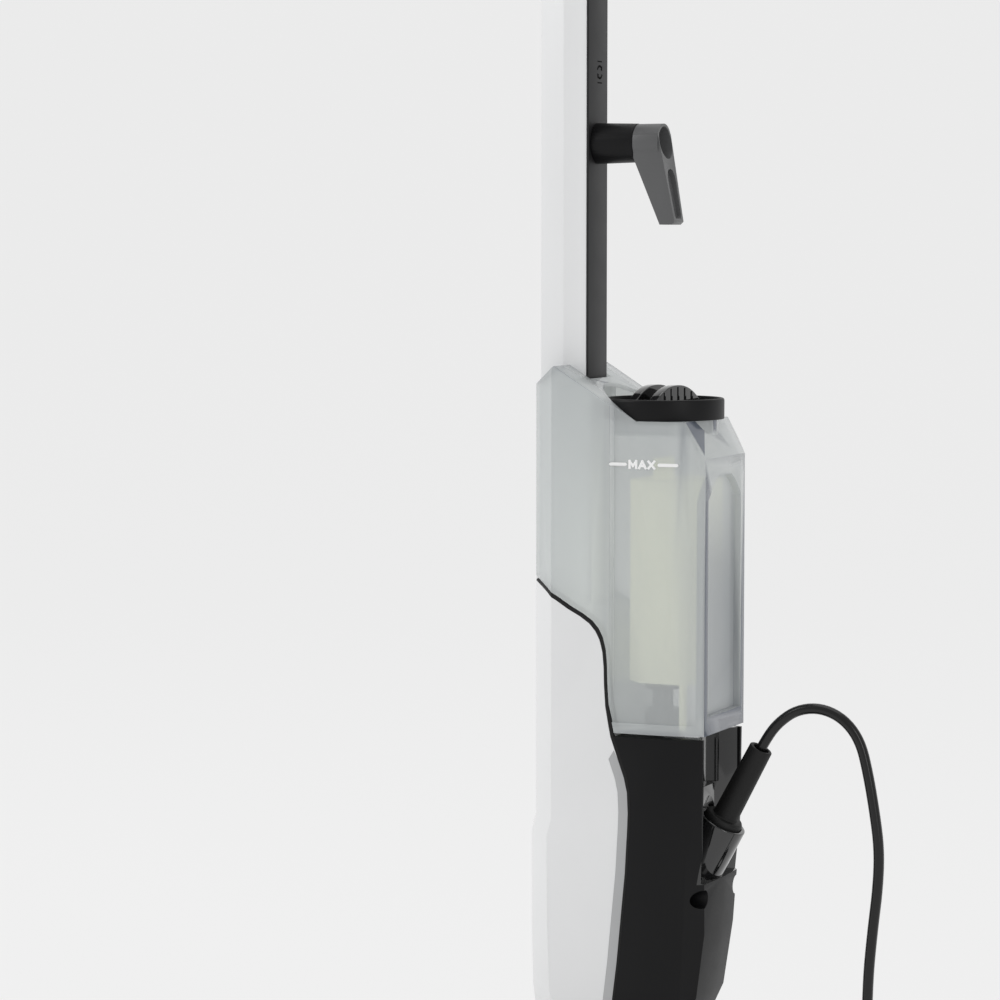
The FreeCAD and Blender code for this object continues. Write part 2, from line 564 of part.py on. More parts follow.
def make_tube():
    tube = prism("tube_profile", "XY", [tube_outline(), tube_outline("tube_wall")], "tube_foot", "tube_top")
    node("tube", tube)
    strip = [("strip_half", "-strip_thick"), ("strip_half", "0"), ("-strip_half", "0"),
             ("-strip_half", "-strip_thick")]
    node("rear_strip", prism("strip_profile", "XY", [strip], "strip_foot", "strip_top"))
    node("control_cable", rod("cable_core", "2.5", "tube_foot - 12", "tube_top + 4", ("0", "-12")))
    plate = box("chassis_plate", ("-chassis_half", "chassis_half"),
                ("chassis_front", "chassis_front + chassis_thick"),
                ("sole_height + wall", "tube_foot"))
    flange = box("chassis_flange", ("-chassis_half + 4", "chassis_half - 4"), ("chassis_front", "34"),
                 ("sole_height + wall", "sole_height + wall + 4"))
    plug = prism("chassis_plug", "XY", [tube_outline("tube_wall + play")], "tube_foot - 6", "tube_foot + 60")
    flat = prism("chassis_foot", "XY", [tube_outline("0.2")], "tube_foot - 14", "tube_foot")
    bore = rod("chassis_bore", "4", "tube_foot - 20", "tube_foot + 70", ("0", "-12"))
    pipe_hole = rod("chassis_pipe_hole", "hose_radius + 1.5", "sole_height", "sole_height + 10",
                    ("0", "-body_shift"))
    beam = box("chassis_beam", ("-screw_x - boss_radius", "screw_x + boss_radius"),
               ("chassis_front", "chassis_front + chassis_thick"),
               ("screw_height - boss_radius", "screw_height + boss_radius"))
    bosses = []
    pilots = []
    for index, x in enumerate(("screw_x", "-screw_x")):
        spot = (x, "screw_height")
        bosses.append(rod("case_boss%d" % index, "boss_radius", "chassis_front", "board_y + 7.9", spot, "Y"))
        pilots.append(rod("case_pilot%d" % index, "screw_neck", "34", "60", spot, "Y"))
    frame = fuse("chassis_sum", plate, flange, plug, flat, beam, *bosses)
    node("chassis", cut("chassis_body", frame, bore, pipe_hole, *pilots))
    base = turned("hook_cone", [("0", "0"), ("hook_base_foot", "0"), ("hook_base_tip", "hook_base_length"),
                                ("press_radius", "hook_base_length"), ("press_radius", "hook_well_floor - 1"),
                                ("0", "hook_well_floor - 1")])
    base.Placement.Rotation = FreeCAD.Rotation(V(1, 0, 0), -90)
    bind(base, Placement__Base__z="hook_height")
    node("hook_base", base)
    make_hook_lever()
    head = rod("hook_screw_head", "7", "hook_well_floor + 0.1", "hook_well_floor + 2.6",
               ("0", "hook_height"), "Y")
    drive = rod("hook_screw_drive", "2.2", "hook_well_floor + 1.2", "hook_well_floor + 4",
                ("0", "hook_height"), "Y")
    shank = rod("hook_screw_shank", "2", "hook_well_floor - 1", "hook_well_floor + 0.2",
                ("0", "hook_height"), "Y")
    node("hook_screw", cut("hook_screw_body", fuse("hook_screw_sum", head, shank), drive))


def make_hook_lever():
    reach = "hook_base_length + 0.3"
    hub = rod("lever_hub", "hook_hub", reach, "hook_hub_end", ("0", "hook_height"), "Y")
    arm_side = [(reach, "hook_height + 6"), ("hook_hub_end", "hook_height + 6"),
                ("hook_arm_end", "hook_tip_height + 2"), ("hook_arm_end - 2", "hook_tip_height"),
                ("hook_arm_end - hook_arm_thick", "hook_tip_height"), (reach, "hook_height - 10")]
    arm_front = [("hook_hub - 1", "hook_height + 6"), ("hook_tip_half", "hook_tip_height"),
                 ("-hook_tip_half", "hook_tip_height"), ("-hook_hub + 1", "hook_height + 6")]
    arm = common("lever_arm", prism("lever_side", "YZ", [arm_side], "-20", "20"),
                 prism("lever_front", "XZ", [arm_front], "20", "80"))
    well = rod("lever_well", "hook_well", "hook_well_floor", "80", ("0", "hook_height"), "Y")
    bore = rod("lever_bore", "press_radius + running_play", "20", "60", ("0", "hook_height"), "Y")
    slot_half = [("0", "hook_height - hook_slot_top"), ("0.6 * hook_slot_half", "hook_height - hook_slot_top - 1.2"),
                 ("0.95 * hook_slot_half", "hook_height - hook_slot_top - 4.5"),
                 ("hook_slot_half", "hook_height - hook_slot_top - 9"),
                 ("hook_slot_half - 1", "hook_tip_height + 6"), ("hook_slot_half - 2.5", "hook_tip_height + 4")]
    slot_band = side_prism("lever_slot_band", [("hook_hub_end - hook_slot_depth", "hook_height"),
                                               ("hook_arm_end - hook_slot_depth", "hook_tip_height + 2"),
                                               ("hook_arm_end + 20", "hook_tip_height + 2"),
                                               ("hook_hub_end + 20", "hook_height")])
    slot = common("lever_slot", prism("lever_slot_front", "XZ", [mirrored(slot_half)], "20", "80"), slot_band)
    node("hook_lever", cut("lever", fuse("lever_sum", hub, arm), well, bore, slot))


# ---------------------------------------------------------------- water tank, cap and valve

def tank_outline(inset="0", step="tank_step"):
    """Plan of the tank: two ears round the tube, and a rear part set in by a step."""
    gap = "tube_half + tank_gap + %s" % inset
    half = [
        (gap, "deck_front + %s" % inset),
        ("front_half - 0.5 * %s" % inset, "deck_front + %s" % inset),
        ("deck_side - %s" % inset, "deck_front + shoulder_run + 0.5 * %s" % inset),
        ("deck_side - %s" % inset, "parting_step"),
        ("deck_side - %s - %s" % (step, inset), "parting_step + tank_step_run"),
        ("deck_side - crease_step - 0.8 * %s - %s" % (step, inset), "deck_crease"),
        ("deck_side - corner_step - %s" % inset, "tank_corner - 0.4 * %s" % inset),
        ("deck_side - rear_step - 0.7 * %s" % inset, "tank_back - %s" % inset),
    ]
    return mirrored(half) + [("-(%s)" % gap, "tank_gap + %s" % inset), (gap, "tank_gap + %s" % inset)]


def tank_side(inset, along, up):
    """Side outline of the tank in (y, height), drawn in by an inset."""
    edge = shifted(EAR_LINE + TURN_LINE, along, up)
    return edge + [
        ("deck_line + %s" % along, "tank_foot + " + inset),
        ("tank_back + 5", "tank_foot + " + inset),
        ("tank_back + 5", "lip_height - 6"),
        ("tank_lip - 1.6 * %s" % inset, "lip_height - " + inset),
        ("shelf_back - 0.8 * %s" % inset, "shelf - " + inset),
        ("shelf_front - 0.4 * %s" % inset, "shelf - " + inset),
        ("ear_peak", "ear_top - 1.3 * " + inset),
        ("deck_front - 10", "ear_front - 1.3 * %s - 6" % inset),
        ("deck_front - 10", "line_top + 9 + " + inset),
    ]


def make_tank():
    plan = fuse("tank_plan_sum",
                prism("tank_plan", "XY", [tank_outline()], "tank_foot - 5", "ear_top + 5"),
                prism("tank_base_band", "XY", [tank_outline("0", "0.2")], "tank_foot - 5", "tank_foot + tank_band"))
    outer = common("tank_outer", plan,
                   side_prism("tank_profile", tank_side("0", "gasket_gap + 0.4", "gasket_drop + 0.4")))
    inner_side = tank_side("tank_wall", "gasket_gap + 0.4 + tank_wall", "gasket_drop + 0.4 + 0.9 * tank_wall")
    inner = common("tank_inner",
                   prism("tank_plan_inner", "XY", [tank_outline("tank_wall")], "tank_foot", "ear_top"),
                   side_prism("tank_profile_inner", inner_side))
    arch = [("grip_half", "grip_foot"), ("grip_half", "grip_side"), ("0.7 * grip_half", "grip_top - 6"),
            ("grip_crown", "grip_top"), ("-grip_crown", "grip_top"), ("-0.7 * grip_half", "grip_top - 6"),
            ("-grip_half", "grip_side"), ("-grip_half", "grip_foot")]
    grip = prism("grip_recess", "XZ", [arch], "grip_floor", "tank_back + 20")
    wide = [("grip_half + tank_wall", "grip_foot - tank_wall"), ("grip_half + tank_wall", "grip_side"),
            ("0.7 * grip_half + tank_wall", "grip_top - 5"), ("grip_crown", "grip_top + tank_wall"),
            ("-grip_crown", "grip_top + tank_wall"), ("-0.7 * grip_half - tank_wall", "grip_top - 5"),
            ("-grip_half - tank_wall", "grip_side"), ("-grip_half - tank_wall", "grip_foot - tank_wall")]
    backing = prism("grip_backing", "XZ", [wide], "grip_floor - tank_wall", "tank_back + 20")
    hollow = cut("tank_hollow", inner, backing)
    neck = rod("tank_neck", "neck_radius + tank_wall", "shelf - neck_depth", "shelf", ("0", "neck_y"))
    mouth = rod("tank_mouth", "neck_radius", "shelf - neck_depth - 5", "ear_top + 20", ("0", "neck_y"))
    seat = rod("tank_cap_seat", "cap_radius + 0.7", "shelf", "ear_top + 20", ("0", "neck_y"))
    port = rod("tank_port", "valve_radius", "tank_foot - 5", "tank_foot + 8", ("0", "dock_y"))
    walls = cut("tank_walls", outer, hollow, grip)
    node("tank_body", cut("tank", fuse("tank_sum", walls, neck), mouth, seat, port))
    seat_top = "tank_foot + seat_height"
    cage_top = seat_top + " + poppet_thick + spring_length + 0.2"
    block = rod("seat_block", "valve_radius", "tank_foot", seat_top, ("0", "dock_y"))
    crown = rod("cage_crown", "valve_radius", cage_top, cage_top + " + 2", ("0", "dock_y"))
    legs = [box("cage_leg%d" % i, x, ("dock_y - 3", "dock_y + 3"), ("tank_foot + 5", cage_top + " + 1"))
            for i, x in enumerate((("valve_radius - 4", "valve_radius - 1"),
                                   ("-valve_radius + 1", "-valve_radius + 4")))]
    bore = rod("seat_bore", "valve_bore", "tank_foot - 1", "tank_foot + seat_height - 3", ("0", "dock_y"))
    hole = rod("seat_opening", "seat_hole", "tank_foot - 1", seat_top + " + 1", ("0", "dock_y"))
    node("valve_seat", cut("seat", fuse("seat_sum", block, crown, *legs), bore, hole))
    poppet = fuse("poppet_sum",
                  rod("poppet_disc", "poppet_radius", seat_top + " + 0.1", seat_top + " + 0.1 + poppet_thick",
                      ("0", "dock_y")),
                  rod("poppet_stem", "2", "tank_foot + 11", seat_top + " + 1", ("0", "dock_y")))
    node("valve_poppet", poppet)
    make_spring("valve_spring", "poppet_radius - 1.6", "0.45", 5, seat_top + " + 0.1 + poppet_thick",
                "spring_length", "0", "dock_y")
    can = mirrored([("cartridge_half - cartridge_cut", "cartridge_front"),
                    ("cartridge_half", "cartridge_front + cartridge_cut"),
                    ("cartridge_half", "cartridge_back - cartridge_cut"),
                    ("cartridge_half - cartridge_cut", "cartridge_back")])
    resin = prism("cartridge_can", "XY", [can], "cartridge_foot", "cartridge_top")
    handle = box("cartridge_tab", ("-14", "14"), ("neck_y - 2", "neck_y + 2"),
                 ("cartridge_top - 1", "cartridge_top + 14"))
    legs = [rod("cartridge_leg%d" % i, "2.5", "tank_foot + tank_wall", "cartridge_foot + 1",
                (x, "cartridge_back - cartridge_cut")) for i, x in enumerate(("22", "-22"))]
    node("scale_cartridge", fuse("cartridge", resin, handle, *legs))


def make_spring(label, radius, wire, turns, foot, length, x, y):
    """A compression spring as a stack of closed coils joined by one spine."""
    rings = []
    for index in range(turns):
        ring = doc.addObject("Part::Torus", "%s_ring%d" % (label, index))
        bind(ring, Radius1=radius, Radius2=wire)
        share = "(%s + (%s - 2 * %s) * %g)" % (wire, length, wire, index / (turns - 1))
        bind(ring, Placement__Base__x=x, Placement__Base__y=y, Placement__Base__z="%s + %s" % (foot, share))
        rings.append(ring)
    spine = rod(label + "_spine", "0.6 * " + wire, foot + " + " + wire, "%s + %s - %s" % (foot, length, wire),
                ("%s + %s" % (x, radius), y))
    return node(label, fuse(label + "_sum", *rings, spine))


def make_cap():
    ring_top = "cap_height"
    profile = [("0", "0.2"), ("cap_radius", "0.2"), ("cap_radius", ring_top + " - 1"),
               ("cap_radius - 0.8", ring_top), ("cap_radius - cap_lip", ring_top),
               ("cap_radius - cap_lip", "cap_floor + 2"), ("cap_radius - cap_lip - 2", "cap_floor"),
               ("0", "cap_floor")]
    disc = turned("cap_disc", profile)
    plug = turned("cap_plug_turn", [("cap_plug - 2.5", "-9"), ("cap_plug", "-9"), ("cap_plug", "-6"),
                                    ("cap_plug - 1.5", "-6"), ("cap_plug - 1.5", "-3"), ("cap_plug", "-3"),
                                    ("cap_plug", "1"), ("cap_plug - 2.5", "1")])
    body = fuse("cap_ring_sum", disc, plug)
    bind(body, Placement__Base__y="neck_y", Placement__Base__z="shelf")
    node("cap_ring", body)
    seal = turned("cap_seal_turn", [("cap_plug - 1.5", "-5.9"), ("cap_plug + 0.6", "-5.5"),
                                    ("cap_plug + 0.6", "-3.5"), ("cap_plug - 1.5", "-3.1")])
    bind(seal, Placement__Base__y="neck_y", Placement__Base__z="shelf")
    node("cap_seal", seal)
    arch = [("-cap_bar_half", "cap_floor"), ("-0.85 * cap_bar_half", "0.45 * cap_arch"),
            ("-0.6 * cap_bar_half", "0.78 * cap_arch"), ("-0.3 * cap_bar_half", "0.95 * cap_arch"),
            ("0", "cap_arch")]
    arch += [(x.lstrip("-"), z) for x, z in reversed(arch[:-1])]
    bars = []
    for name, low, high in (("near", "cap_bar_gap - 0.5 * cap_bar", "cap_bar_gap + 0.5 * cap_bar"),
                            ("far", "-cap_bar_gap - 0.5 * cap_bar", "-cap_bar_gap + 0.5 * cap_bar")):
        bars.append(prism("cap_bar_" + name, "XZ", [arch], low, high))
    bridge_arch = [(x, "0.82 * (%s)" % z if z != "cap_floor" else z) for x, z in arch]
    bars.append(prism("cap_bridge", "XZ", [bridge_arch], "-cap_bar_gap", "cap_bar_gap"))
    grip = fuse("cap_grip_sum", *bars)
    bind(grip, Placement__Rotation__Angle="cap_bar_turn", Placement__Base__y="neck_y",
         Placement__Base__z="shelf")
    node("cap_grip", grip)


# ---------------------------------------------------------------- inside the machine

def make_works():
    spout = [rod("dock_tube", "dock_spout", "deck_top - 18", "tank_foot + 8", ("0", "dock_y")),
             rod("dock_plate", "dock_flange", "deck_top", "deck_top + 2", ("0", "dock_y")),
             rod("dock_cup", "dock_spout + 2.5", "deck_top - 22", "deck_top + 0.5", ("0", "dock_y"))]
    pierce = rod("dock_bore", "dock_spout - 1.5", "deck_top - 19", "tank_foot + 9", ("0", "dock_y"))
    stem = rod("dock_stem", "1.2", "deck_top - 20", "tank_foot + 10.6", ("0", "dock_y"))
    node("tank_dock", fuse("dock_all", cut("dock_pierced", fuse("dock_sum", *spout), pierce), stem))
    block = box("boiler_block", ("-boiler_half", "boiler_half"), ("boiler_front", "boiler_back"),
                ("boiler_foot", "boiler_top"))
    element = rod("boiler_element", "4", "boiler_foot - 8", "boiler_top + 8", ("-12", "12"))
    node("boiler", fuse("boiler_sum", block, element))
    puck = rod("thermostat_puck", "8", "boiler_back", "boiler_back + 5", ("0", "206"), "Y")
    node("thermostat", puck)
    node("thermal_fuse", rod("fuse_barrel", "2.5", "-12", "12", ("boiler_back + 2.5", "178"), "X"))
    pump = fuse("pump_sum", rod("pump_can", "pump_radius", "pump_foot", "pump_top", ("pump_x", "pump_y")),
                rod("pump_inlet", "2.4", "pump_top - 1", "pump_top + 7", ("pump_x", "pump_y")),
                rod("pump_outlet", "2.4", "pump_foot - 7", "pump_foot + 1", ("pump_x", "pump_y")))
    node("water_pump", pump)
    mounts = []
    for index, height in enumerate(("pump_foot + 8", "pump_top - 14")):
        loops = [circle("pump_x", "pump_y", "pump_radius + 3"), circle("pump_x", "pump_y", "pump_radius")]
        mounts.append(prism("pump_mount%d" % index, "XY", loops, height, height + " + 6"))
    node("pump_mounts", group("pump_mount_pair", *mounts))
    board = box("board_plate", ("-board_half", "board_half"), ("board_y", "board_y + 1.6"),
                ("board_foot", "board_top"))
    chips = [box("board_part%d" % i, (x + " - 5", x + " + 5"), ("board_y - 7", "board_y + 0.5"),
                 (z + " - 6", z + " + 6")) for i, (x, z) in enumerate((("-14", "162"), ("13", "166"), ("-13", "200"), ("14", "198")))]
    node("control_board", fuse("board_sum", board, *chips))
    valve = fuse("relief_sum", rod("relief_body", "6", "128", "142", ("0", "-body_shift")),
                 rod("relief_cap", "4", "4", "12", ("-body_shift", "135"), "X"))
    node("safety_valve", valve)
    deck = size("deck_top")
    node("intake_hose", hose("intake", [(0, size("dock_y"), deck - 22), (0, size("dock_y"), deck - 42.5),
                                        (-4, 36, deck - 59.5), (-6, 26, deck - 37.5), (-14, 12, deck - 5.5),
                                        (size("pump_x"), size("pump_y"), deck - 9.5),
                                        (size("pump_x"), size("pump_y"), size("pump_top") + 7)]))
    node("pressure_hose", rod("pressure_line", "hose_radius", "boiler_top", "pump_foot - 7",
                              ("pump_x", "pump_y")))
    node("steam_pipe", rod("steam_line", "hose_radius", "sole_height + 1", "128", ("0", "-body_shift")))


def rounded_wire(points):
    """Straight runs joined by tangent arcs, each as large as its two runs allow."""
    corners = [V(*point) for point in points]
    edges = []
    radii = []
    start = corners[0]
    for before, here, after in zip(corners, corners[1:], corners[2:]):
        back = (before - here).normalize()
        ahead = (after - here).normalize()
        half_turn = 0.5 * (math.pi - back.getAngle(ahead))
        setback = 0.45 * min((before - here).Length, (after - here).Length)
        radius = setback / math.tan(half_turn)
        radii.append(radius)
        entry = here + back * setback
        leave = here + ahead * setback
        bisector = (back + ahead).normalize()
        middle = here + bisector * (radius / math.cos(half_turn) - radius)
        edges.append(Part.LineSegment(start, entry).toShape())
        edges.append(Part.Arc(entry, middle, leave).toShape())
        start = leave
    edges.append(Part.LineSegment(start, corners[-1]).toShape())
    return Part.Wire(edges), radii


def sweep_round(name, points, radius):
    """A round solid along a rounded wire, with its volume compared with section times length."""
    wire, radii = rounded_wire(points)
    heading = V(*points[1]) - V(*points[0])
    section = Part.Wire([Part.Circle(V(*points[0]), heading, radius).toShape()])
    solid = wire.makePipeShell([section], True, False)
    expected = math.pi * radius ** 2 * wire.Length
    print(name, "length %.1f" % wire.Length, "volume/expected %.4f" % (solid.Volume / expected))
    print(name, "radii", " ".join("%.0f" % value for value in radii))
    return shell_copy(name, solid)


def hose(name, points):
    return sweep_round(name + "_hose", points, size("hose_radius"))


# ---------------------------------------------------------------- handle

HANDLE_LEVELS = [("handle_foot", "-18", "19.5", "23"), ("handle_foot + 30", "-17.5", "19", "22.5"),
                 ("handle_foot + 72", "-12", "16.5", "19"), ("overall_height - 62", "-1", "15.5", "18"),
                 ("overall_height - 18", "10", "16.5", "19"), ("overall_height - 5", "13", "14.5", "16.5"),
                 ("overall_height", "14", "9", "11")]


def handle_outline(y, half_x, half_y, inset):
    """An eight-sided oval."""
    a = "(%s - %s)" % (half_x, inset)
    b = "(%s - %s)" % (half_y, inset)
    return mirrored([("0.45 * " + a, "%s - %s" % (y, b)), ("0.88 * " + a, "%s - 0.72 * %s" % (y, b)),
                     (a, "%s - 0.25 * %s" % (y, b)), (a, "%s + 0.25 * %s" % (y, b)),
                     ("0.88 * " + a, "%s + 0.72 * %s" % (y, b)), ("0.45 * " + a, "%s + %s" % (y, b))])


def handle_loft(name, inset):
    drop = {"handle_foot": "0", "overall_height": inset}
    return loft(name, [("%s - %s" % (z, drop.get(z, "0")), handle_outline(y, a, b, inset))
                       for z, y, a, b in HANDLE_LEVELS])


def make_handle():
    outer = handle_loft("handle_outer", "0")
    inner = handle_loft("handle_inner", "handle_wall")
    base = common("handle_floor", outer, box("handle_floor_box", ("-40", "40"), ("-60", "60"),
                                             ("handle_foot", "handle_foot + 3")))
    skin = fuse("handle_skin", cut("handle_hull", outer, inner), base)
    sleeve = prism("handle_sleeve", "XY", [tube_outline("-0.05")], "handle_foot - 1", "tube_top + 1")
    strip_way = box("handle_strip_way", ("-strip_half - 0.1", "strip_half + 0.1"), ("-3", "0.1"),
                    ("handle_foot - 1", "strip_top + 0.1"))
    split = [(y, z) for z, y, a, b in HANDLE_LEVELS]
    rear_zone = side_prism("handle_rear_zone", [("-18", "handle_foot - 5")] + split[1:-1]
                           + [("14", "overall_height + 5"), ("90", "overall_height + 5"), ("90", "handle_foot - 5")])
    slot = box("trigger_slot", ("-trigger_half - 0.5", "trigger_half + 0.5"), ("-8", "60"),
               ("trigger_foot - 5", "trigger_pivot + 8"))
    slider_slot = box("slider_slot", ("-4.5", "4.5"), ("-60", "-10"), ("1076", "1100"))
    lamp_hole = rod("lamp_hole", "4.1", "-60", "-10", ("0", "1118"), "Y")
    lugs = [box("trigger_lug%d" % i, x, ("trigger_pivot_y - 7", "trigger_pivot_y + 5"),
                ("trigger_pivot - 6", "trigger_pivot + 12"))
            for i, x in enumerate((("trigger_half + 0.5", "trigger_half + 4"),
                                   ("-trigger_half - 4", "-trigger_half - 0.5")))]
    pin_hole = rod("trigger_pin_hole", "pin_radius", "-13.2", "13.2", ("trigger_pivot_y", "trigger_pivot"), "X")
    front = cut("handle_front_body", skin, rear_zone, sleeve, strip_way, slider_slot, lamp_hole)
    node("handle_front", front)
    wells = [rod("handle_well%d" % i, "screw_head + 0.2", y, "60", ("0", z), "Y")
             for i, (z, y) in enumerate(HANDLE_SCREWS)]
    back = cut("handle_rear_body", fuse("handle_rear_sum", common("handle_rear_half", skin, rear_zone), *lugs),
               sleeve, strip_way, slot, pin_hole, *wells)
    node("handle_rear", back)
    node("trigger_pin", rod("trigger_axle", "pin_radius", "-12.5", "12.5",
                            ("trigger_pivot_y", "trigger_pivot"), "X"))
    lever = [("trigger_pivot_y - 5", "trigger_pivot + 5"), ("trigger_pivot_y + 5", "trigger_pivot + 5"),
             ("trigger_pivot_y + 16", "trigger_pivot - 10"), ("trigger_pivot_y + 15", "trigger_pivot - 26"),
             ("trigger_pivot_y + 13", "trigger_foot + 6"), ("trigger_pivot_y + 8", "trigger_foot"),
             ("trigger_pivot_y + 2", "trigger_foot"), ("trigger_pivot_y + 4", "trigger_pivot - 26"),
             ("trigger_pivot_y - 2", "trigger_pivot - 10")]
    blade = prism("trigger_blade", "YZ", [lever], "-trigger_half", "trigger_half")
    bore = rod("trigger_bore", "pin_radius + running_play", "-20", "20", ("trigger_pivot_y", "trigger_pivot"), "X")
    node("steam_trigger", cut("trigger", blade, bore))
    switch = box("switch_block", ("-6", "6"), ("-17", "-7"), ("1062", "1082"))
    node("trigger_switch", switch)
    slider = fuse("slider_sum", box("slider_foot", ("-7", "7"), ("-18.8", "-17"), ("1076", "1092")),
                  box("slider_knob", ("-4", "4"), ("-30", "-18"), ("1078", "1086")))
    node("steam_slider", slider)
    lamp = rod("lamp_body", "4", "-22", "-17.5", ("0", "1118"), "Y")
    node("ready_lamp", lamp)
    make_upper_hook()


def make_upper_hook():
    post = rod("upper_post", "10", "0", "upper_hook_reach - 12", ("0", "upper_hook_height"), "Y")
    reach = "upper_hook_reach"
    arm = [(reach + " - 13", "upper_hook_height - 9"), (reach + " - 2", "upper_hook_height - 9"),
           (reach, "upper_hook_height"), (reach + " + 6", "upper_hook_height + upper_hook_rise"),
           (reach + " - 1", "upper_hook_height + upper_hook_rise + 2"),
           (reach + " - 8", "upper_hook_height + 10"), (reach + " - 13", "upper_hook_height + 9")]
    blade = prism("upper_arm", "YZ", [arm], "-8", "8")
    node("upper_hook", fuse("upper_hook_sum", post, blade))


# ---------------------------------------------------------------- mains cord

# The cord's way from the strain relief over and down to the floor behind the mop, then
# along the floor to the coil: points chosen by hand as (x, y, z) in the tube's frame.
CORD_WAY = [(0, 115.41, 322.61), (0.2, 121.2, 333.5), (0.6, 129.8, 344.8), (1.0, 143.0, 354.2),
            (1.3, 159.6, 356.4), (1.4, 175.4, 350.0), (1.0, 186.4, 336.2), (0.5, 191.6, 315.5),
            (0.0, 196.0, 291.0), (0.0, 199.6, 266.0), (0.4, 199.0, 241.0), (1.2, 195.8, 212.0),
            (2.0, 193.2, 180.0), (2.6, 193.0, 140.0), (2.8, 195.5, 96.0), (2.4, 203.5, 53.0),
            (1.5, 219.5, 22.0), (0.6, 243.0, 8.0), (0.2, 272.0, 5.6), (0.0, 302.0, 5.2)]


def make_cord():
    radius = size("cord_radius")
    node("cord_run", sweep_round("cord_way", CORD_WAY, radius))
    end_y = CORD_WAY[-1][1]
    turn = "coil_outer - cord_radius"
    middle = ("-(%s)" % turn, "%g" % end_y)
    node("cord_coil", prism("coil_ring", "XY", [circle(*middle, "coil_outer"), circle(*middle, "coil_inner")],
                            "coil_low", "coil_high"))
    side = ("-(%s) - 0.5 * tie_width" % turn, "-(%s) + 0.5 * tie_width" % turn)
    low = "%g + coil_inner - tie_slack" % end_y
    high = "%g + coil_outer + 0.1 * tie_slack" % end_y
    band = box("tie_outer", side, (low + " - tie_thick", high + " + tie_thick"),
               ("coil_low - tie_thick", "coil_high + tie_thick"))
    inside = box("tie_inner", (side[0] + " - 1", side[1] + " + 1"), (low, high), ("coil_low", "coil_high"))
    node("cord_tie", cut("tie", band, inside))
    tail_x = -2 * size(turn)
    top = size("coil_high") - radius
    tail = [(tail_x, end_y, top), (tail_x - 0.4, end_y - 26, top - 1.5),
            (tail_x + 0.4, end_y - 52, size("plug_radius") + 1), (tail_x, end_y - 78, size("plug_radius"))]
    node("cord_tail", sweep_round("cord_tail_way", tail, radius))
    profile = [("0", "0"), ("6", "0"), ("8", "plug_taper"), ("plug_radius - 1", "plug_taper + 4"),
               ("plug_radius - 1", "plug_taper + plug_length - 8"),
               ("plug_radius - 0.2", "plug_taper + plug_length - 6"),
               ("plug_radius - 0.2", "plug_taper + plug_length"), ("0", "plug_taper + plug_length")]
    plug = turned("plug_body", profile)
    plug.Placement.Rotation = FreeCAD.Rotation(V(1, 0, 0), 90)
    bind(plug, Placement__Base__x="%g" % tail_x, Placement__Base__y="%g" % (end_y - 78),
         Placement__Base__z="plug_radius")
    node("plug", plug)
    face = "%g - plug_taper - plug_length" % (end_y - 78)
    pins = [rod("plug_pin%d" % i, "plug_pin_radius", face + " - plug_pin_length", face,
                ("%g %s plug_pin_gap" % (tail_x, sign), "plug_radius"), "Y") for i, sign in enumerate("+-")]
    node("plug_pins", group("plug_pin_pair", *pins))


def check_and_write():
    doc.recompute()
    for obj in doc.Objects:
        if "Invalid" in obj.State or "Error" in obj.State:
            raise RuntimeError("failed feature: " + obj.Label)
    for obj in NODES:
        if obj.Shape.isNull() or not obj.Shape.isValid():
            raise RuntimeError("bad shape: " + obj.Label)
        if not obj.Shape.Solids or not all(solid.isValid() for solid in obj.Shape.Solids):
            raise RuntimeError("no solid: " + obj.Label)
    os.makedirs("parts", exist_ok=True)
    for obj in NODES:
        obj.Shape.exportStep("parts/%s.step" % obj.Label)
    print(len(NODES), "nodes")


make_nozzle()
make_swivel()
make_shells()
make_tube()
make_tank()
make_cap()
make_works()
make_handle()
make_cord()
check_and_write()
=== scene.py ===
# %% [markdown]
# # A steam mop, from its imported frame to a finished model
#
# The frame holds every working piece of the mop at its real size. This lesson dresses it:
# each cell takes one piece or one finish, says what it is on the real machine, how it could
# be made, and why this way was chosen. Everything is in metres, +Z is up, -Y is the front.

# %% Load the frame
import math

import bmesh
import bpy
from mathutils import Matrix, Vector


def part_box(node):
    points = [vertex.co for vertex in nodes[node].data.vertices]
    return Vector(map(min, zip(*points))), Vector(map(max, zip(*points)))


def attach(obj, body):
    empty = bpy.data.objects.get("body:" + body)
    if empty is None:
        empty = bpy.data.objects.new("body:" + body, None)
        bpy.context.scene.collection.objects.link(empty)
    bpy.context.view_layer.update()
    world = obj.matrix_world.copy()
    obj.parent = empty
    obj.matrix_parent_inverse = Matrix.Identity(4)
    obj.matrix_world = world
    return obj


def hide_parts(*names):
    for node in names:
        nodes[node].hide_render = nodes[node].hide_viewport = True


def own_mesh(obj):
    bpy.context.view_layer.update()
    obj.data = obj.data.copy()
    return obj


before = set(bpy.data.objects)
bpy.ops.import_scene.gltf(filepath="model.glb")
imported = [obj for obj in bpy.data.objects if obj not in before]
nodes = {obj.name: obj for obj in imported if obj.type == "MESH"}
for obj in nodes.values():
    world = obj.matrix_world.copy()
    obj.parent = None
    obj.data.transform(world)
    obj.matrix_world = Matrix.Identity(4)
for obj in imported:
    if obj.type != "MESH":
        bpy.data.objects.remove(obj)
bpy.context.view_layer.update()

scene = bpy.context.scene
MM = 0.001
BODY_SHIFT = -20 * MM

# %% [markdown]
# ## Camera
# The mop is seen from its left and a little from behind, by a long lens from about two
# metres, with the camera slightly above the tank and tipped down a few degrees. A long lens
# keeps the tall edges nearly parallel. The aim point stands in front of the machine, so the
# mop sits right of the middle and the cord has room to swing out.

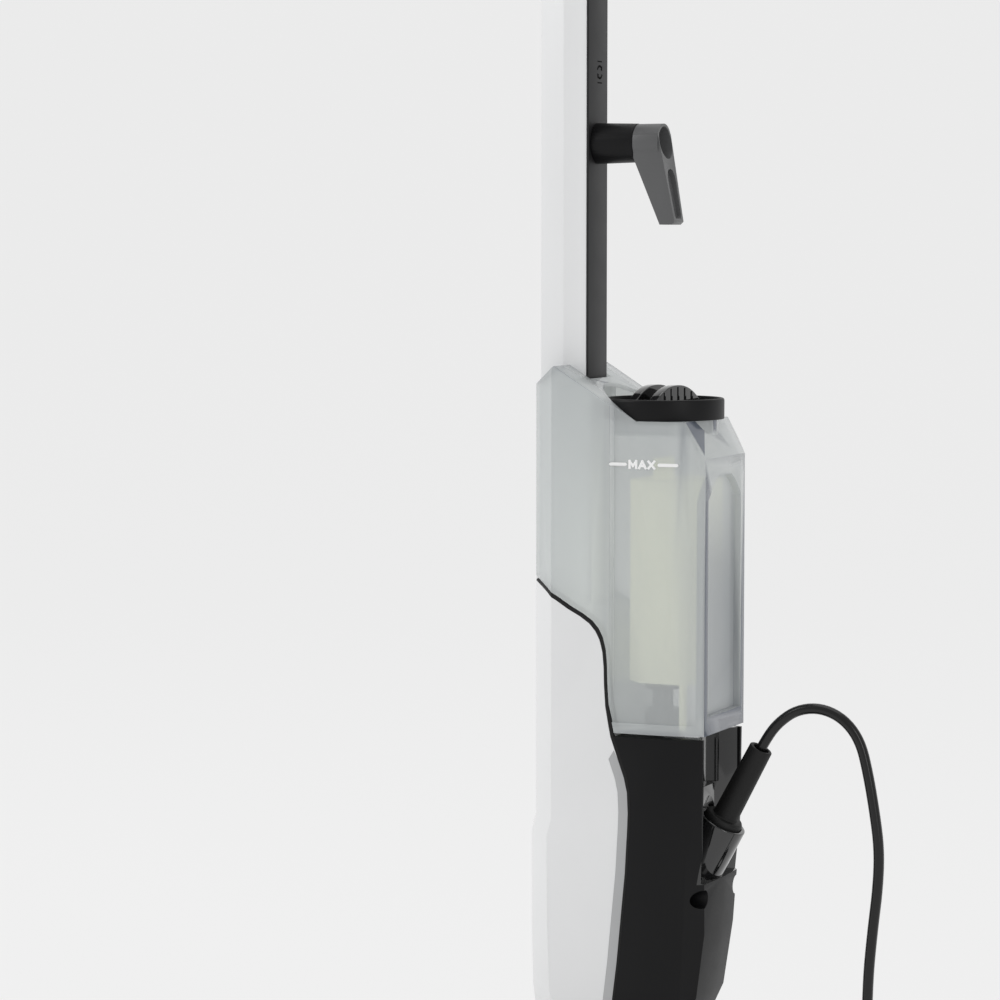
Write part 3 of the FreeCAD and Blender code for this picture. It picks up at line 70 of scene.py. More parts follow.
# %% Place the camera
VIEW_SIDE = math.radians(25)
CAMERA_DISTANCE = 2.183
CAMERA_HEIGHT = 0.658
AIM_HEIGHT = 0.4867
AIM_LEAD = 0.065
toward_camera = Vector((math.cos(VIEW_SIDE), math.sin(VIEW_SIDE), 0))
image_right = Vector((-math.sin(VIEW_SIDE), math.cos(VIEW_SIDE), 0))
aim = Vector((0, BODY_SHIFT, AIM_HEIGHT)) - image_right * AIM_LEAD
eye = aim + toward_camera * CAMERA_DISTANCE
eye.z = CAMERA_HEIGHT

camera_data = bpy.data.cameras.new("camera")
camera_data.lens = 117.9
camera_data.sensor_width = 36
camera = bpy.data.objects.new("camera", camera_data)
camera.location = eye
camera.rotation_euler = (aim - eye).to_track_quat("-Z", "Y").to_euler()
scene.collection.objects.link(camera)
scene.camera = camera
print("camera at", [round(v, 3) for v in eye])

# %% [markdown]
# ## Helpers for meshes
# Most pieces start from points and faces worked out in Python. One helper turns them into an
# object, and one finishes it: it merges doubles, points the faces outwards, and sets which
# edges stay sharp.

# %% Mesh helpers
def mesh_object(name, verts, faces, smooth_angle=35):
    mesh = bpy.data.meshes.new(name)
    mesh.from_pydata([tuple(v) for v in verts], [], [tuple(f) for f in faces])
    return settle(name, mesh, smooth_angle)


def settle(name, mesh, smooth_angle=35):
    """Close and orient a mesh, shade it, and put it in the scene as an object."""
    work = bmesh.new()
    work.from_mesh(mesh)
    bmesh.ops.remove_doubles(work, verts=work.verts, dist=1e-6)
    bmesh.ops.recalc_face_normals(work, faces=work.faces)
    work.to_mesh(mesh)
    work.free()
    mesh.polygons.foreach_set("use_smooth", [True] * len(mesh.polygons))
    mesh.set_sharp_from_angle(angle=math.radians(smooth_angle))
    obj = bpy.data.objects.new(name, mesh)
    scene.collection.objects.link(obj)
    return obj


def applied(obj):
    """The object with its modifiers made real, as a plain mesh."""
    depsgraph = bpy.context.evaluated_depsgraph_get()
    mesh = bpy.data.meshes.new_from_object(obj.evaluated_get(depsgraph))
    old = obj.data
    obj.modifiers.clear()
    obj.data = mesh
    if old.users == 0 and isinstance(old, bpy.types.Mesh):
        bpy.data.meshes.remove(old)
    return obj


def finish_piece(obj, body, material, replaced=()):
    """Give a piece its finish, its body, and the frame nodes that it stands for."""
    obj.data.materials.clear()
    obj.data.materials.append(material)
    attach(obj, body)
    if replaced:
        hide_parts(*replaced)
    return obj


# %% [markdown]
# ## Finishes
# A moulded plastic is never one flat colour: it has a spark-eroded or polished skin, faint
# flow marks and slightly uneven gloss. Each finish here is a Principled shader whose constant
# values sit on its own sockets, while noise in Object coordinates drives small changes of
# colour, roughness and height. Object coordinates are in metres, so a scale of 900 makes grain
# about a millimetre across, whatever the piece. The cream resin glows a little, in place of
# the light that scatters inside the tank.

# %% Finish helpers
def new_material(name):
    material = bpy.data.materials.new(name)
    material.use_nodes = True
    tree = material.node_tree
    shader = tree.nodes["Principled BSDF"]
    place = tree.nodes.new("ShaderNodeTexCoord")
    return material, tree, shader, place.outputs["Object"]


def noise(tree, vector, scale, detail=4.0, roughness=0.55):
    node = tree.nodes.new("ShaderNodeTexNoise")
    node.inputs["Scale"].default_value = scale
    node.inputs["Detail"].default_value = detail
    node.inputs["Roughness"].default_value = roughness
    tree.links.new(vector, node.inputs["Vector"])
    return node.outputs["Fac"]


def spread(tree, value, low, high):
    """Map a 0 to 1 value on to a range."""
    node = tree.nodes.new("ShaderNodeMapRange")
    node.inputs["To Min"].default_value = low
    node.inputs["To Max"].default_value = high
    tree.links.new(value, node.inputs["Value"])
    return node.outputs["Result"]


def tint(tree, value, dark, light, start=0.3, stop=0.7):
    node = tree.nodes.new("ShaderNodeValToRGB")
    node.color_ramp.elements[0].color = (*dark, 1)
    node.color_ramp.elements[1].color = (*light, 1)
    node.color_ramp.elements[0].position = start
    node.color_ramp.elements[1].position = stop
    tree.links.new(value, node.inputs["Fac"])
    return node.outputs["Color"]


def bump(tree, value, strength, distance):
    node = tree.nodes.new("ShaderNodeBump")
    node.inputs["Strength"].default_value = strength
    node.inputs["Distance"].default_value = distance
    tree.links.new(value, node.inputs["Height"])
    return node.outputs["Normal"]


def moulded(name, colour, rough, grain_scale, grain_depth, vary=0.06, coat=0.0, rough_vary=0.05, shine=0.5):
    """A moulded or painted skin: colour, roughness and a fine relief that vary a little."""
    material, tree, shader, where = new_material(name)
    shader.inputs["Specular IOR Level"].default_value = shine
    cloud = noise(tree, where, 14.0, 3.0)
    dark = tuple(c * (1 - vary) for c in colour)
    light = tuple(min(1.0, c * (1 + vary)) for c in colour)
    tree.links.new(tint(tree, cloud, dark, light), shader.inputs["Base Color"])
    patch = noise(tree, where, 55.0, 5.0)
    tree.links.new(spread(tree, patch, rough - rough_vary, rough + rough_vary), shader.inputs["Roughness"])
    grain = noise(tree, where, grain_scale, 3.0, 0.6)
    tree.links.new(bump(tree, grain, 0.35, grain_depth), shader.inputs["Normal"])
    if coat:
        shader.inputs["Coat Weight"].default_value = coat
        shader.inputs["Coat Roughness"].default_value = 0.06
    return material


def metal(name, colour, rough, grain_scale=600.0):
    material, tree, shader, where = new_material(name)
    shader.inputs["Metallic"].default_value = 1.0
    streak = noise(tree, where, grain_scale, 4.0)
    tree.links.new(tint(tree, streak, tuple(0.85 * c for c in colour), colour), shader.inputs["Base Color"])
    tree.links.new(spread(tree, streak, rough - 0.06, rough + 0.06), shader.inputs["Roughness"])
    tree.links.new(bump(tree, streak, 0.2, 0.00005), shader.inputs["Normal"])
    return material


# %% The finishes
WHITE = moulded("gloss_white", (0.80, 0.805, 0.81), 0.17, 260.0, 0.00002, 0.01, 0.6, 0.03)
TUBE_WHITE = moulded("satin_white_coat", (0.80, 0.805, 0.81), 0.30, 1500.0, 0.00003, 0.01, 0.2)
SILVER = moulded("satin_silver", (0.42, 0.425, 0.43), 0.34, 1200.0, 0.00004, 0.03)
BLACK = moulded("textured_black", (0.0045, 0.0045, 0.005), 0.44, 1500.0, 0.00010, 0.12, shine=0.2)
GLOSS_BLACK = moulded("gloss_black", (0.006, 0.006, 0.0065), 0.10, 200.0, 0.00003, 0.1, 0.7, 0.02)
STRIP_BLACK = moulded("strip_black", (0.013, 0.013, 0.014), 0.45, 2200.0, 0.00006, 0.08, shine=0.3)
SIGN_BLACK = moulded("sign_black", (0.003, 0.003, 0.003), 0.8, 900.0, 0.00002, 0.05, shine=0.05)
GREY = moulded("warm_grey", (0.095, 0.096, 0.098), 0.42, 1800.0, 0.00007, 0.06)
RUBBER = moulded("soft_rubber", (0.010, 0.010, 0.010), 0.55, 1300.0, 0.00008, 0.12, shine=0.25)
SHEATH = moulded("cord_sheath", (0.005, 0.005, 0.005), 0.24, 500.0, 0.00004, 0.15, 0.1, shine=0.35)
CREAM = moulded("cream_resin", (0.88, 0.88, 0.68), 0.45, 700.0, 0.0001, 0.06)
cream_shader = CREAM.node_tree.nodes["Principled BSDF"]
cream_shader.inputs["Emission Color"].default_value = (0.86, 0.87, 0.66, 1)
cream_shader.inputs["Emission Strength"].default_value = 0.35
BOARD = moulded("board_green", (0.03, 0.16, 0.07), 0.35, 400.0, 0.0001, 0.2)
STEEL = metal("plain_steel", (0.56, 0.56, 0.57), 0.32)
ALUMINIUM = metal("cast_aluminium", (0.70, 0.70, 0.71), 0.45, 250.0)
BRASS = metal("plug_metal", (0.72, 0.66, 0.50), 0.24)
print(len(bpy.data.materials), "finishes")

# %% [markdown]
# ## Softening the moulded shells
# A moulded edge is never a knife edge: it has a small radius that catches the light. The
# frame's nodes have true faces but sharp edges, so a copy of each visible shell is merged,
# its flat areas are joined into whole faces, and a Bevel modifier rounds its edges. The copy
# replaces the node, which stays in the frame untouched.

# %% Softened copies
def softened(node_name, name, width, segments=3, angle=22, dissolve=1.5, smooth_angle=40):
    source = nodes[node_name].data.copy()
    work = bmesh.new()
    work.from_mesh(source)
    bmesh.ops.remove_doubles(work, verts=work.verts, dist=2e-6)
    bmesh.ops.dissolve_limit(work, angle_limit=math.radians(dissolve), verts=work.verts, edges=work.edges,
                             use_dissolve_boundaries=False)
    work.to_mesh(source)
    work.free()
    obj = settle(name, source, smooth_angle)
    rounding = obj.modifiers.new("edge_radius", "BEVEL")
    rounding.width = width
    rounding.segments = segments
    rounding.limit_method = "ANGLE"
    rounding.angle_limit = math.radians(angle)
    rounding.harden_normals = False
    applied(obj)
    obj.data.polygons.foreach_set("use_smooth", [True] * len(obj.data.polygons))
    obj.data.set_sharp_from_angle(angle=math.radians(smooth_angle))
    return obj


SHELLS = [
    # node, piece, body, finish, slot, edge radius
    ("front_shell", "white_front_shell", "machine", WHITE, "white_plastic", 0.8),
    ("trim_left", "silver_trim_left", "machine", SILVER, "silver_plastic", 0.4),
    ("trim_right", "silver_trim_right", "machine", SILVER, "silver_plastic", 0.4),
    ("shell_gasket", "parting_gasket", "machine", RUBBER, "rubber", 0.3),
    ("rear_housing", "black_rear_housing", "machine", BLACK, "black_plastic", 0.8),
    ("cable_inlet", "inlet_scoop", "machine", GLOSS_BLACK, "gloss_black", 0.8),
    ("gland_collar", "cord_collar", "machine", GLOSS_BLACK, "gloss_black", 0.8),
    ("strain_relief", "cord_sleeve", "machine", RUBBER, "rubber", 0.8),
    ("tube", "main_tube", "machine", TUBE_WHITE, "white_paint", 0.7),
    ("rear_strip", "tube_inlay", "machine", STRIP_BLACK, "black_plastic", 0.3),
    ("hook_base", "hook_spigot", "machine", BLACK, "black_plastic", 0.5),
    ("hook_lever", "turning_hook", "hook", GREY, "grey_plastic", 0.6),
    ("upper_hook", "fixed_hook", "machine", BLACK, "black_plastic", 1.2),
    ("cap_ring", "tank_cap", "cap", BLACK, "black_plastic", 0.5),
    ("scale_cartridge", "scale_filter", "tank", CREAM, "cream_resin", 5.0),
    ("nozzle_cover", "floor_head_cover", "nozzle", BLACK, "black_plastic", 1.2),
    ("nozzle_base", "floor_head_base", "nozzle", BLACK, "black_plastic", 0.6),
    ("knuckle", "swivel_knuckle", "swivel", BLACK, "black_plastic", 0.8),
    ("swivel_yoke", "swivel_fork", "machine", BLACK, "black_plastic", 0.8),
    ("handle_front", "handle_front_shell", "machine", WHITE, "white_plastic", 1.2),
    ("handle_rear", "handle_rear_shell", "machine", BLACK, "black_plastic", 1.0),
    ("steam_trigger", "pull_trigger", "trigger", GREY, "grey_plastic", 1.4),
    ("steam_slider", "level_slider", "slider", GREY, "grey_plastic", 0.8),
    ("plug", "mains_plug", "machine", SHEATH, "cord_black", 1.0),
]
pieces = {}
for node_name, name, body, finish, slot, radius in SHELLS:
    piece = softened(node_name, name, radius * MM)
    pieces[name] = finish_piece(piece, body, finish, [node_name])
print(len(pieces), "softened shells")

# %% [markdown]
# ## Finishes for the frame's own nodes
# Pieces that are hidden inside, or whose frame shape is already right, keep their node and
# take a finish on their material slots.

# %% Dress the remaining nodes
NODE_FINISH = {
    STEEL: ["nozzle_screws", "pitch_pin", "roll_pin", "case_screws", "hook_screw", "thermostat",
            "thermal_fuse", "trigger_pin"],
    RUBBER: ["knuckle_seals", "pump_mounts", "intake_hose", "pressure_hose", "steam_pipe", "cap_seal"],
    BLACK: ["steam_manifold", "trigger_switch"],
    GREY: ["hook_loop_strips", "chassis", "tank_dock", "water_pump", "valve_seat", "valve_poppet"],
    SHEATH: ["control_cable", "cord_tie"],
    ALUMINIUM: ["boiler"],
    BRASS: ["safety_valve", "plug_pins"],
    BOARD: ["control_board"],
}
for finish, names in NODE_FINISH.items():
    for name in names:
        nodes[name].data.materials.clear()
        nodes[name].data.materials.append(finish)

# %% [markdown]
# ## The valve spring
# The spring under the tank's valve shortens as the dock lifts the poppet. A copy of it, in
# steel and with a mesh of its own, takes the node's place in the tank's body.

# %% Valve spring
spring = settle("valve_coil", nodes["valve_spring"].data.copy())
finish_piece(spring, "tank", STEEL, ["valve_spring"])
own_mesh(spring)

# %% [markdown]
# ## The water tank
# The tank is blown or moulded in polypropylene: milky, smoky, with soft highlights, clear
# enough to see the water and the cartridge behind it. Real glass settings would make it crisp
# and dark at this thickness. A part-transparent skin on both faces of its 2 mm wall is nearer:
# looking along a wall passes through more of it, so grazing faces turn denser and greyer. Its
# creases are made denser too and are darkened as painted shade, a dark line along each sharp edge.
# Milky plastic also passes light on inside its wall, which a faint glow stands for.
# The chamber behind the ears is darkened as painted shade, so the ears look lighter than it.

# %% Tank skin
# Pointiness range over which the tank's creases turn denser and are darkened as painted shade.
CREASE_START, CREASE_FULL = 0.508, 0.585
# Y span and strength of the painted shade that darkens the chamber behind the ears.
CHAMBER_START, CHAMBER_FULL = -0.015, 0.004
CHAMBER_PAINTED_SHADE = 0.30
THINNEST, DENSEST = 0.44, 0.92
INNER_GLOW = 0.10


def milky_tank():
    material, tree, shader, where = new_material("milky_tank")
    shader.inputs["IOR"].default_value = 1.45
    shader.inputs["Coat Weight"].default_value = 0.3
    shader.inputs["Coat Roughness"].default_value = 0.05
    view = tree.nodes.new("ShaderNodeLayerWeight")
    view.inputs["Blend"].default_value = 0.25
    grazing = tree.nodes.new("ShaderNodeMath")
    grazing.operation = "POWER"
    grazing.inputs[1].default_value = 1.8
    tree.links.new(view.outputs["Facing"], grazing.inputs[0])
    surface = tree.nodes.new("ShaderNodeNewGeometry")
    # Painted shade: convex creases, found by Pointiness, are darkened into dark lines and made denser.
    crease = tree.nodes.new("ShaderNodeMapRange")
    crease.inputs["From Min"].default_value = CREASE_START
    crease.inputs["From Max"].default_value = CREASE_FULL
    tree.links.new(surface.outputs["Pointiness"], crease.inputs["Value"])
    # The wall's depth at grazing angles, joined with the painted crease shade; it sets the alpha and the
    # tone.
    wall_depth_and_crease_shade = tree.nodes.new("ShaderNodeMath")
    wall_depth_and_crease_shade.operation = "MAXIMUM"
    tree.links.new(grazing.outputs[0], wall_depth_and_crease_shade.inputs[0])
    tree.links.new(crease.outputs["Result"], wall_depth_and_crease_shade.inputs[1])
    cloud = noise(tree, where, 22.0, 3.0)
    tree.links.new(spread(tree, cloud, 0.14, 0.24), shader.inputs["Roughness"])
    tree.links.new(spread(tree, wall_depth_and_crease_shade.outputs[0], THINNEST, DENSEST), shader.inputs["Alpha"])
    place = tree.nodes.new("ShaderNodeSeparateXYZ")
    tree.links.new(where, place.inputs[0])
    # Painted shade: the chamber behind the ears, towards +Y, is darkened.
    rearward = tree.nodes.new("ShaderNodeMapRange")
    rearward.inputs["From Min"].default_value = CHAMBER_START
    rearward.inputs["From Max"].default_value = CHAMBER_FULL
    rearward.inputs["To Max"].default_value = CHAMBER_PAINTED_SHADE
    tree.links.new(place.outputs["Y"], rearward.inputs["Value"])
    # Tone from the wall's depth, joined with the painted crease shade and the painted chamber shade.
    depth_and_painted_shade = tree.nodes.new("ShaderNodeMath")
    depth_and_painted_shade.operation = "MAXIMUM"
    tree.links.new(wall_depth_and_crease_shade.outputs[0], depth_and_painted_shade.inputs[0])
    tree.links.new(rearward.outputs["Result"], depth_and_painted_shade.inputs[1])
    # Light grey where the wall is thin, dark grey where it is deep or where shade is painted.
    body = tint(tree, depth_and_painted_shade.outputs[0], (0.78, 0.81, 0.80), (0.10, 0.115, 0.145), 0.02, 0.80)
    tree.links.new(body, shader.inputs["Base Color"])
    tree.links.new(body, shader.inputs["Emission Color"])
    shader.inputs["Emission Strength"].default_value = INNER_GLOW
    flow = noise(tree, where, 60.0, 2.0)
    tree.links.new(bump(tree, flow, 0.12, 0.0003), shader.inputs["Normal"])
    return material


TANK = milky_tank()
tank = softened("tank_body", "water_tank", 0.9 * MM, 3, 16)
finish_piece(tank, "tank", TANK, ["tank_body"])
print("tank faces", len(tank.data.polygons))

# %% [markdown]
# ## The fill mark
# Two short strokes and the word MAX are printed in white on the tank's side. The letters are
# made of straight bars, turned to stand on the side wall, and given a hair of thickness so
# that they lie just proud of the skin. Rays cast at the tank find the skin under each point.

# %% Fill mark
PRINT = moulded("white_print", (0.93, 0.93, 0.93), 0.45, 900.0, 0.00002, 0.01)
tank_high = Vector(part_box("tank_body")[1])
bpy.context.view_layer.update()
MARK_HEIGHT = 0.5143
MARK_Y = 0.0295


def mark_mesh(name, flat, depth=0.6 * MM):
    """Lay a flat X, Y mesh on the tank's +X side: its X runs to the rear, its Y up."""
    work = bmesh.new()
    work.from_mesh(flat)
    shape = bmesh.ops.extrude_face_region(work, geom=work.faces[:])
    raised = [item for item in shape["geom"] if isinstance(item, bmesh.types.BMVert)]
    bmesh.ops.translate(work, verts=raised, vec=(0, 0, depth))
    for vert in work.verts:
        along, up, out = vert.co
        outside = (tank_high.x + 0.05, MARK_Y + along, MARK_HEIGHT + up)
        skin = tank.ray_cast(outside, (-1, 0, 0))[1]
        vert.co = (skin.x - 0.05 * MM + out, outside[1], outside[2])
    bmesh.ops.recalc_face_normals(work, faces=work.faces)
    mesh = bpy.data.meshes.new(name)
    work.to_mesh(mesh)
    work.free()
    obj = bpy.data.objects.new(name, mesh)
    scene.collection.objects.link(obj)
    return obj


LETTER_BARS = {
    "M": [((0, 0), (0, 1)), ((0, 1), (0.5, 0.3)), ((0.5, 0.3), (1, 1)), ((1, 1), (1, 0))],
    "A": [((0, 0), (0.5, 1)), ((0.5, 1), (1, 0)), ((0.2, 0.3), (0.8, 0.3))],
    "X": [((0, 0), (1, 1)), ((0, 1), (1, 0))],
}
LETTER_WIDTHS = {"M": 4.6 * MM, "A": 4.4 * MM, "X": 4.0 * MM}
LETTER_HEIGHT = 4.4 * MM
LETTER_STROKE = 1.5 * MM
LETTER_GAP = 2.1 * MM
BAR_LIFT = 0.02 * MM


def word_outline(word):
    """A word from straight bars, each a flat quad a hair above the last, centred on the origin."""
    length = sum(LETTER_WIDTHS[letter] for letter in word) + LETTER_GAP * (len(word) - 1)
    verts, quads = [], []
    left = -0.5 * length
    for letter in word:
        for ends in LETTER_BARS[letter]:
            layer = BAR_LIFT * len(quads)
            start, stop = [Vector((left + x * LETTER_WIDTHS[letter], (y - 0.5) * LETTER_HEIGHT, layer))
                           for x, y in ends]
            along = (stop - start).normalized() * 0.5 * LETTER_STROKE
            across = Vector((-along.y, along.x, 0))
            first = len(verts)
            verts += [start - along - across, stop + along - across,
                      stop + along + across, start - along + across]
            quads.append(tuple(range(first, first + 4)))
        left += LETTER_WIDTHS[letter] + LETTER_GAP
    mesh = bpy.data.meshes.new("word")
    mesh.from_pydata([tuple(v) for v in verts], [], quads)
    return mesh


def stroke_outline(start, stop, thick):
    """A flat bar with round ends."""
    middle = 0.5 * thick
    points = []
    for centre, first in ((stop - middle, -90), (start + middle, 90)):
        for step in range(7):
            angle = math.radians(first + 30 * step)
            points.append((centre + middle * math.cos(angle), middle * math.sin(angle), 0))
    mesh = bpy.data.meshes.new("stroke")
    mesh.from_pydata(points, [], [tuple(range(len(points)))])
    return mesh


for name, flat in (("fill_mark_word", word_outline("MAX")),
                   ("fill_mark_front", stroke_outline(-22 * MM, -10.6 * MM, 2.1 * MM)),
                   ("fill_mark_rear", stroke_outline(10.8 * MM, 24.8 * MM, 2.1 * MM))):
    mark = mark_mesh(name, flat)
    finish_piece(mark, "tank", PRINT)
print("fill mark at height", MARK_HEIGHT)

# %% [markdown]
# ## The cap's grip
# The filler cap is turned by two arched walls with a lower web between them. Each wall is an
# outline pulled to a thickness, so the arch is worked out by a rule and its edges are rounded
# by a Bevel modifier. They stand on the cap, turned a little out of line as the cap locks.

# %% Cap grip
GRIP_TURN = math.radians(-12)
GRIP_HALF = 32 * MM
GRIP_FLOOR = 4 * MM
ARCH_SIDES = 2.2
ARCH_CROWN = 0.85
GRIP_PEAK = 22.4 * MM
GRIP_GAP = 8 * MM
GRIP_WALL = 6.4 * MM
GRIP_SINK = 1.5 * MM
NECK = Vector((0, 28 * MM, 542.3 * MM))
grip_place = Matrix.Translation(NECK) @ Matrix.Rotation(GRIP_TURN, 4, "Z")


def arch_height(along, peak=GRIP_PEAK):
    share = min(1.0, abs(along) / GRIP_HALF)
    return GRIP_FLOOR + (peak - GRIP_FLOOR) * (1 - share ** ARCH_SIDES) ** ARCH_CROWN


def arched_wall(low, high, peak):
    """Vertices and faces of one wall between two Y values under an arch."""
    steps = 28
    outline = [(-GRIP_HALF * math.cos(math.pi * i / steps), i) for i in range(steps + 1)]
    ring = [(x, arch_height(x, peak)) for x, i in outline]
    foot = GRIP_FLOOR - GRIP_SINK
    ring = [(-GRIP_HALF, foot)] + ring + [(GRIP_HALF, foot)]
    verts = [(x, low, z) for x, z in ring] + [(x, high, z) for x, z in ring]
    count = len(ring)
    faces = [tuple(range(count)), tuple(range(2 * count - 1, count - 1, -1))]
    faces += [(i, (i + 1) % count, count + (i + 1) % count, count + i) for i in range(count)]
    return verts, faces


grip_verts, grip_faces = [], []
for low, high, peak in ((GRIP_GAP - GRIP_WALL / 2, GRIP_GAP + GRIP_WALL / 2, GRIP_PEAK),
                        (-GRIP_GAP - GRIP_WALL / 2, -GRIP_GAP + GRIP_WALL / 2, GRIP_PEAK),
                        (-GRIP_GAP - 1 * MM, GRIP_GAP + 1 * MM, 0.5 * GRIP_PEAK)):
    verts, faces = arched_wall(low, high, peak)
    first = len(grip_verts)
    grip_verts += [grip_place @ Vector(v) for v in verts]
    grip_faces += [tuple(first + i for i in face) for face in faces]
grip = mesh_object("tank_cap_grip", grip_verts, grip_faces, 40)
edge = grip.modifiers.new("edge_radius", "BEVEL")
edge.width = 0.9 * MM
edge.segments = 3
edge.angle_limit = math.radians(50)
applied(grip)
grip.data.polygons.foreach_set("use_smooth", [True] * len(grip.data.polygons))
grip.data.set_sharp_from_angle(angle=math.radians(45))
finish_piece(grip, "cap", GLOSS_BLACK, ["cap_grip"])

# %% [markdown]
# ## Ribs on the grip
# Upright ribs keep wet fingers from slipping. They repeat along the wall and grow with the
# arch, so Geometry Nodes places them: a line of points, a small block on each, stretched to
# the arch's height at that point, then realized. The result is made a plain mesh.

# %% Rib tree
def rib_tree(finish):
    tree = bpy.data.node_groups.new("grip_ribs", "GeometryNodeTree")
    face = tree.interface
    face.new_socket("Geometry", in_out="OUTPUT", socket_type="NodeSocketGeometry")
    face.new_socket("Count", in_out="INPUT", socket_type="NodeSocketInt").default_value = 5
    for label, value in (("Spacing", 0.008), ("Rib Width", 0.0016), ("Rib Depth", 0.002),
                         ("Rib Height", 0.017), ("Half Arch", 0.032)):
        face.new_socket(label, in_out="INPUT", socket_type="NodeSocketFloat").default_value = value
    add = tree.nodes.new
    link = tree.links.new
    given = add("NodeGroupInput")

    def math_node(kind, first, second):
        node = add("ShaderNodeMath")
        node.operation = kind
        for socket, value in zip(node.inputs, (first, second)):
            if isinstance(value, float):
                socket.default_value = value
            else:
                link(value, socket)
        return node.outputs[0]

    line = add("GeometryNodeMeshLine")
    line.mode = "OFFSET"
    link(given.outputs["Count"], line.inputs["Count"])
    span = math_node("MULTIPLY", math_node("SUBTRACT", given.outputs["Count"], 1.0), given.outputs["Spacing"])
    start = add("ShaderNodeCombineXYZ")
    link(math_node("MULTIPLY", span, -0.5), start.inputs["X"])
    step = add("ShaderNodeCombineXYZ")
    link(given.outputs["Spacing"], step.inputs["X"])
    link(start.outputs[0], line.inputs["Start Location"])
    link(step.outputs[0], line.inputs["Offset"])
    block_size = add("ShaderNodeCombineXYZ")
    link(given.outputs["Rib Width"], block_size.inputs["X"])
    link(given.outputs["Rib Depth"], block_size.inputs["Y"])
    link(given.outputs["Rib Height"], block_size.inputs["Z"])
    block = add("GeometryNodeMeshCube")
    link(block_size.outputs[0], block.inputs["Size"])
    lift = add("GeometryNodeTransform")
    raise_by = add("ShaderNodeCombineXYZ")
    link(math_node("MULTIPLY", given.outputs["Rib Height"], 0.5), raise_by.inputs["Z"])
    link(block.outputs["Mesh"], lift.inputs["Geometry"])
    link(raise_by.outputs[0], lift.inputs["Translation"])
    where = add("GeometryNodeInputPosition")
    split = add("ShaderNodeSeparateXYZ")
    link(where.outputs[0], split.inputs[0])
    share = math_node("ABSOLUTE", math_node("DIVIDE", split.outputs["X"], given.outputs["Half Arch"]), 0.0)
    arch = math_node("POWER", math_node("SUBTRACT", 1.0, math_node("POWER", share, ARCH_SIDES)), ARCH_CROWN)
    stretch = add("ShaderNodeCombineXYZ")
    stretch.inputs["X"].default_value = 1.0
    stretch.inputs["Y"].default_value = 1.0
    link(arch, stretch.inputs["Z"])
    place = add("GeometryNodeInstanceOnPoints")
    link(line.outputs["Mesh"], place.inputs["Points"])
    link(lift.outputs["Geometry"], place.inputs["Instance"])
    link(stretch.outputs[0], place.inputs["Scale"])
    real = add("GeometryNodeRealizeInstances")
    link(place.outputs["Instances"], real.inputs["Geometry"])
    paint = add("GeometryNodeSetMaterial")
    paint.inputs["Material"].default_value = finish
    link(real.outputs["Geometry"], paint.inputs["Geometry"])
    end = add("NodeGroupOutput")
    link(paint.outputs["Geometry"], end.inputs["Geometry"])
    return tree


def grown(name, tree, **values):
    """Evaluate a tree with these inputs and return a plain mesh object."""
    seed = bpy.data.objects.new(name, bpy.data.meshes.new(name))
    scene.collection.objects.link(seed)
    modifier = seed.modifiers.new("grow", "NODES")
    modifier.node_group = tree
    sockets = {item.name: item.identifier for item in tree.interface.items_tree if item.in_out == "INPUT"}
    for label, value in values.items():
        modifier[sockets[label.replace("_", " ")]] = value
    return applied(seed)


ribs = grown("grip_ribs", rib_tree(GLOSS_BLACK), Count=5, Spacing=8 * MM, Rib_Width=1.1 * MM,
             Rib_Depth=1 * MM, Rib_Height=GRIP_PEAK - GRIP_FLOOR - 1.2 * MM, Half_Arch=GRIP_HALF)
ribs.data.transform(grip_place @ Matrix.Translation((0, GRIP_GAP + GRIP_WALL / 2 + 0.1 * MM, GRIP_FLOOR)))
finish_piece(ribs, "cap", GLOSS_BLACK)
print("rib faces", len(ribs.data.polygons))

# %% [markdown]
# ## The mark on the inlay
# A small turning-arrows sign between two strokes sits on the tube's inlay and shows that the
# hook turns. It is a matt print, so it reads only as a darker patch. Arcs and
# arrow heads are worked out as flat outlines, and one thin plate carries them all.

# %% Turn sign
SIGN_PLACE = Vector((-2.5 * MM, BODY_SHIFT, 770.8 * MM))
SIGN_RADIUS = 4.0 * MM


def arrow_outline(start_degrees):
    inner, outer, steps = SIGN_RADIUS - 0.7 * MM, SIGN_RADIUS + 0.7 * MM, 12
    sweep = [math.radians(start_degrees + 112 * i / steps) for i in range(steps + 1)]
    points = [(outer * math.cos(a), outer * math.sin(a)) for a in sweep]
    tip = sweep[-1] + math.radians(36)
    head = [(1.45 * SIGN_RADIUS * math.cos(sweep[-1]), 1.45 * SIGN_RADIUS * math.sin(sweep[-1])),
            (SIGN_RADIUS * math.cos(tip), SIGN_RADIUS * math.sin(tip)),
            (0.55 * SIGN_RADIUS * math.cos(sweep[-1]), 0.55 * SIGN_RADIUS * math.sin(sweep[-1]))]
    return points + head + [(inner * math.cos(a), inner * math.sin(a)) for a in reversed(sweep)]


def bar_outline(height):
    return [(-3.6 * MM, height - 0.4 * MM), (3.6 * MM, height - 0.4 * MM), (3.6 * MM, height + 0.4 * MM),
            (-3.6 * MM, height + 0.4 * MM)]


sign_verts, sign_faces = [], []
for outline in (arrow_outline(20), arrow_outline(200), bar_outline(7 * MM), bar_outline(-7 * MM)):
    first = len(sign_verts)
    count = len(outline)
    for depth in (-0.05 * MM, 0.06 * MM):
        sign_verts += [SIGN_PLACE + Vector((x, depth, z)) for x, z in outline]
    sign_faces.append(tuple(range(first, first + count)))
    sign_faces.append(tuple(range(first + 2 * count - 1, first + count - 1, -1)))
    sign_faces += [(first + i, first + (i + 1) % count, first + count + (i + 1) % count, first + count + i)
                   for i in range(count)]
sign = mesh_object("turn_sign", sign_verts, sign_faces, 30)
finish_piece(sign, "machine", SIGN_BLACK)

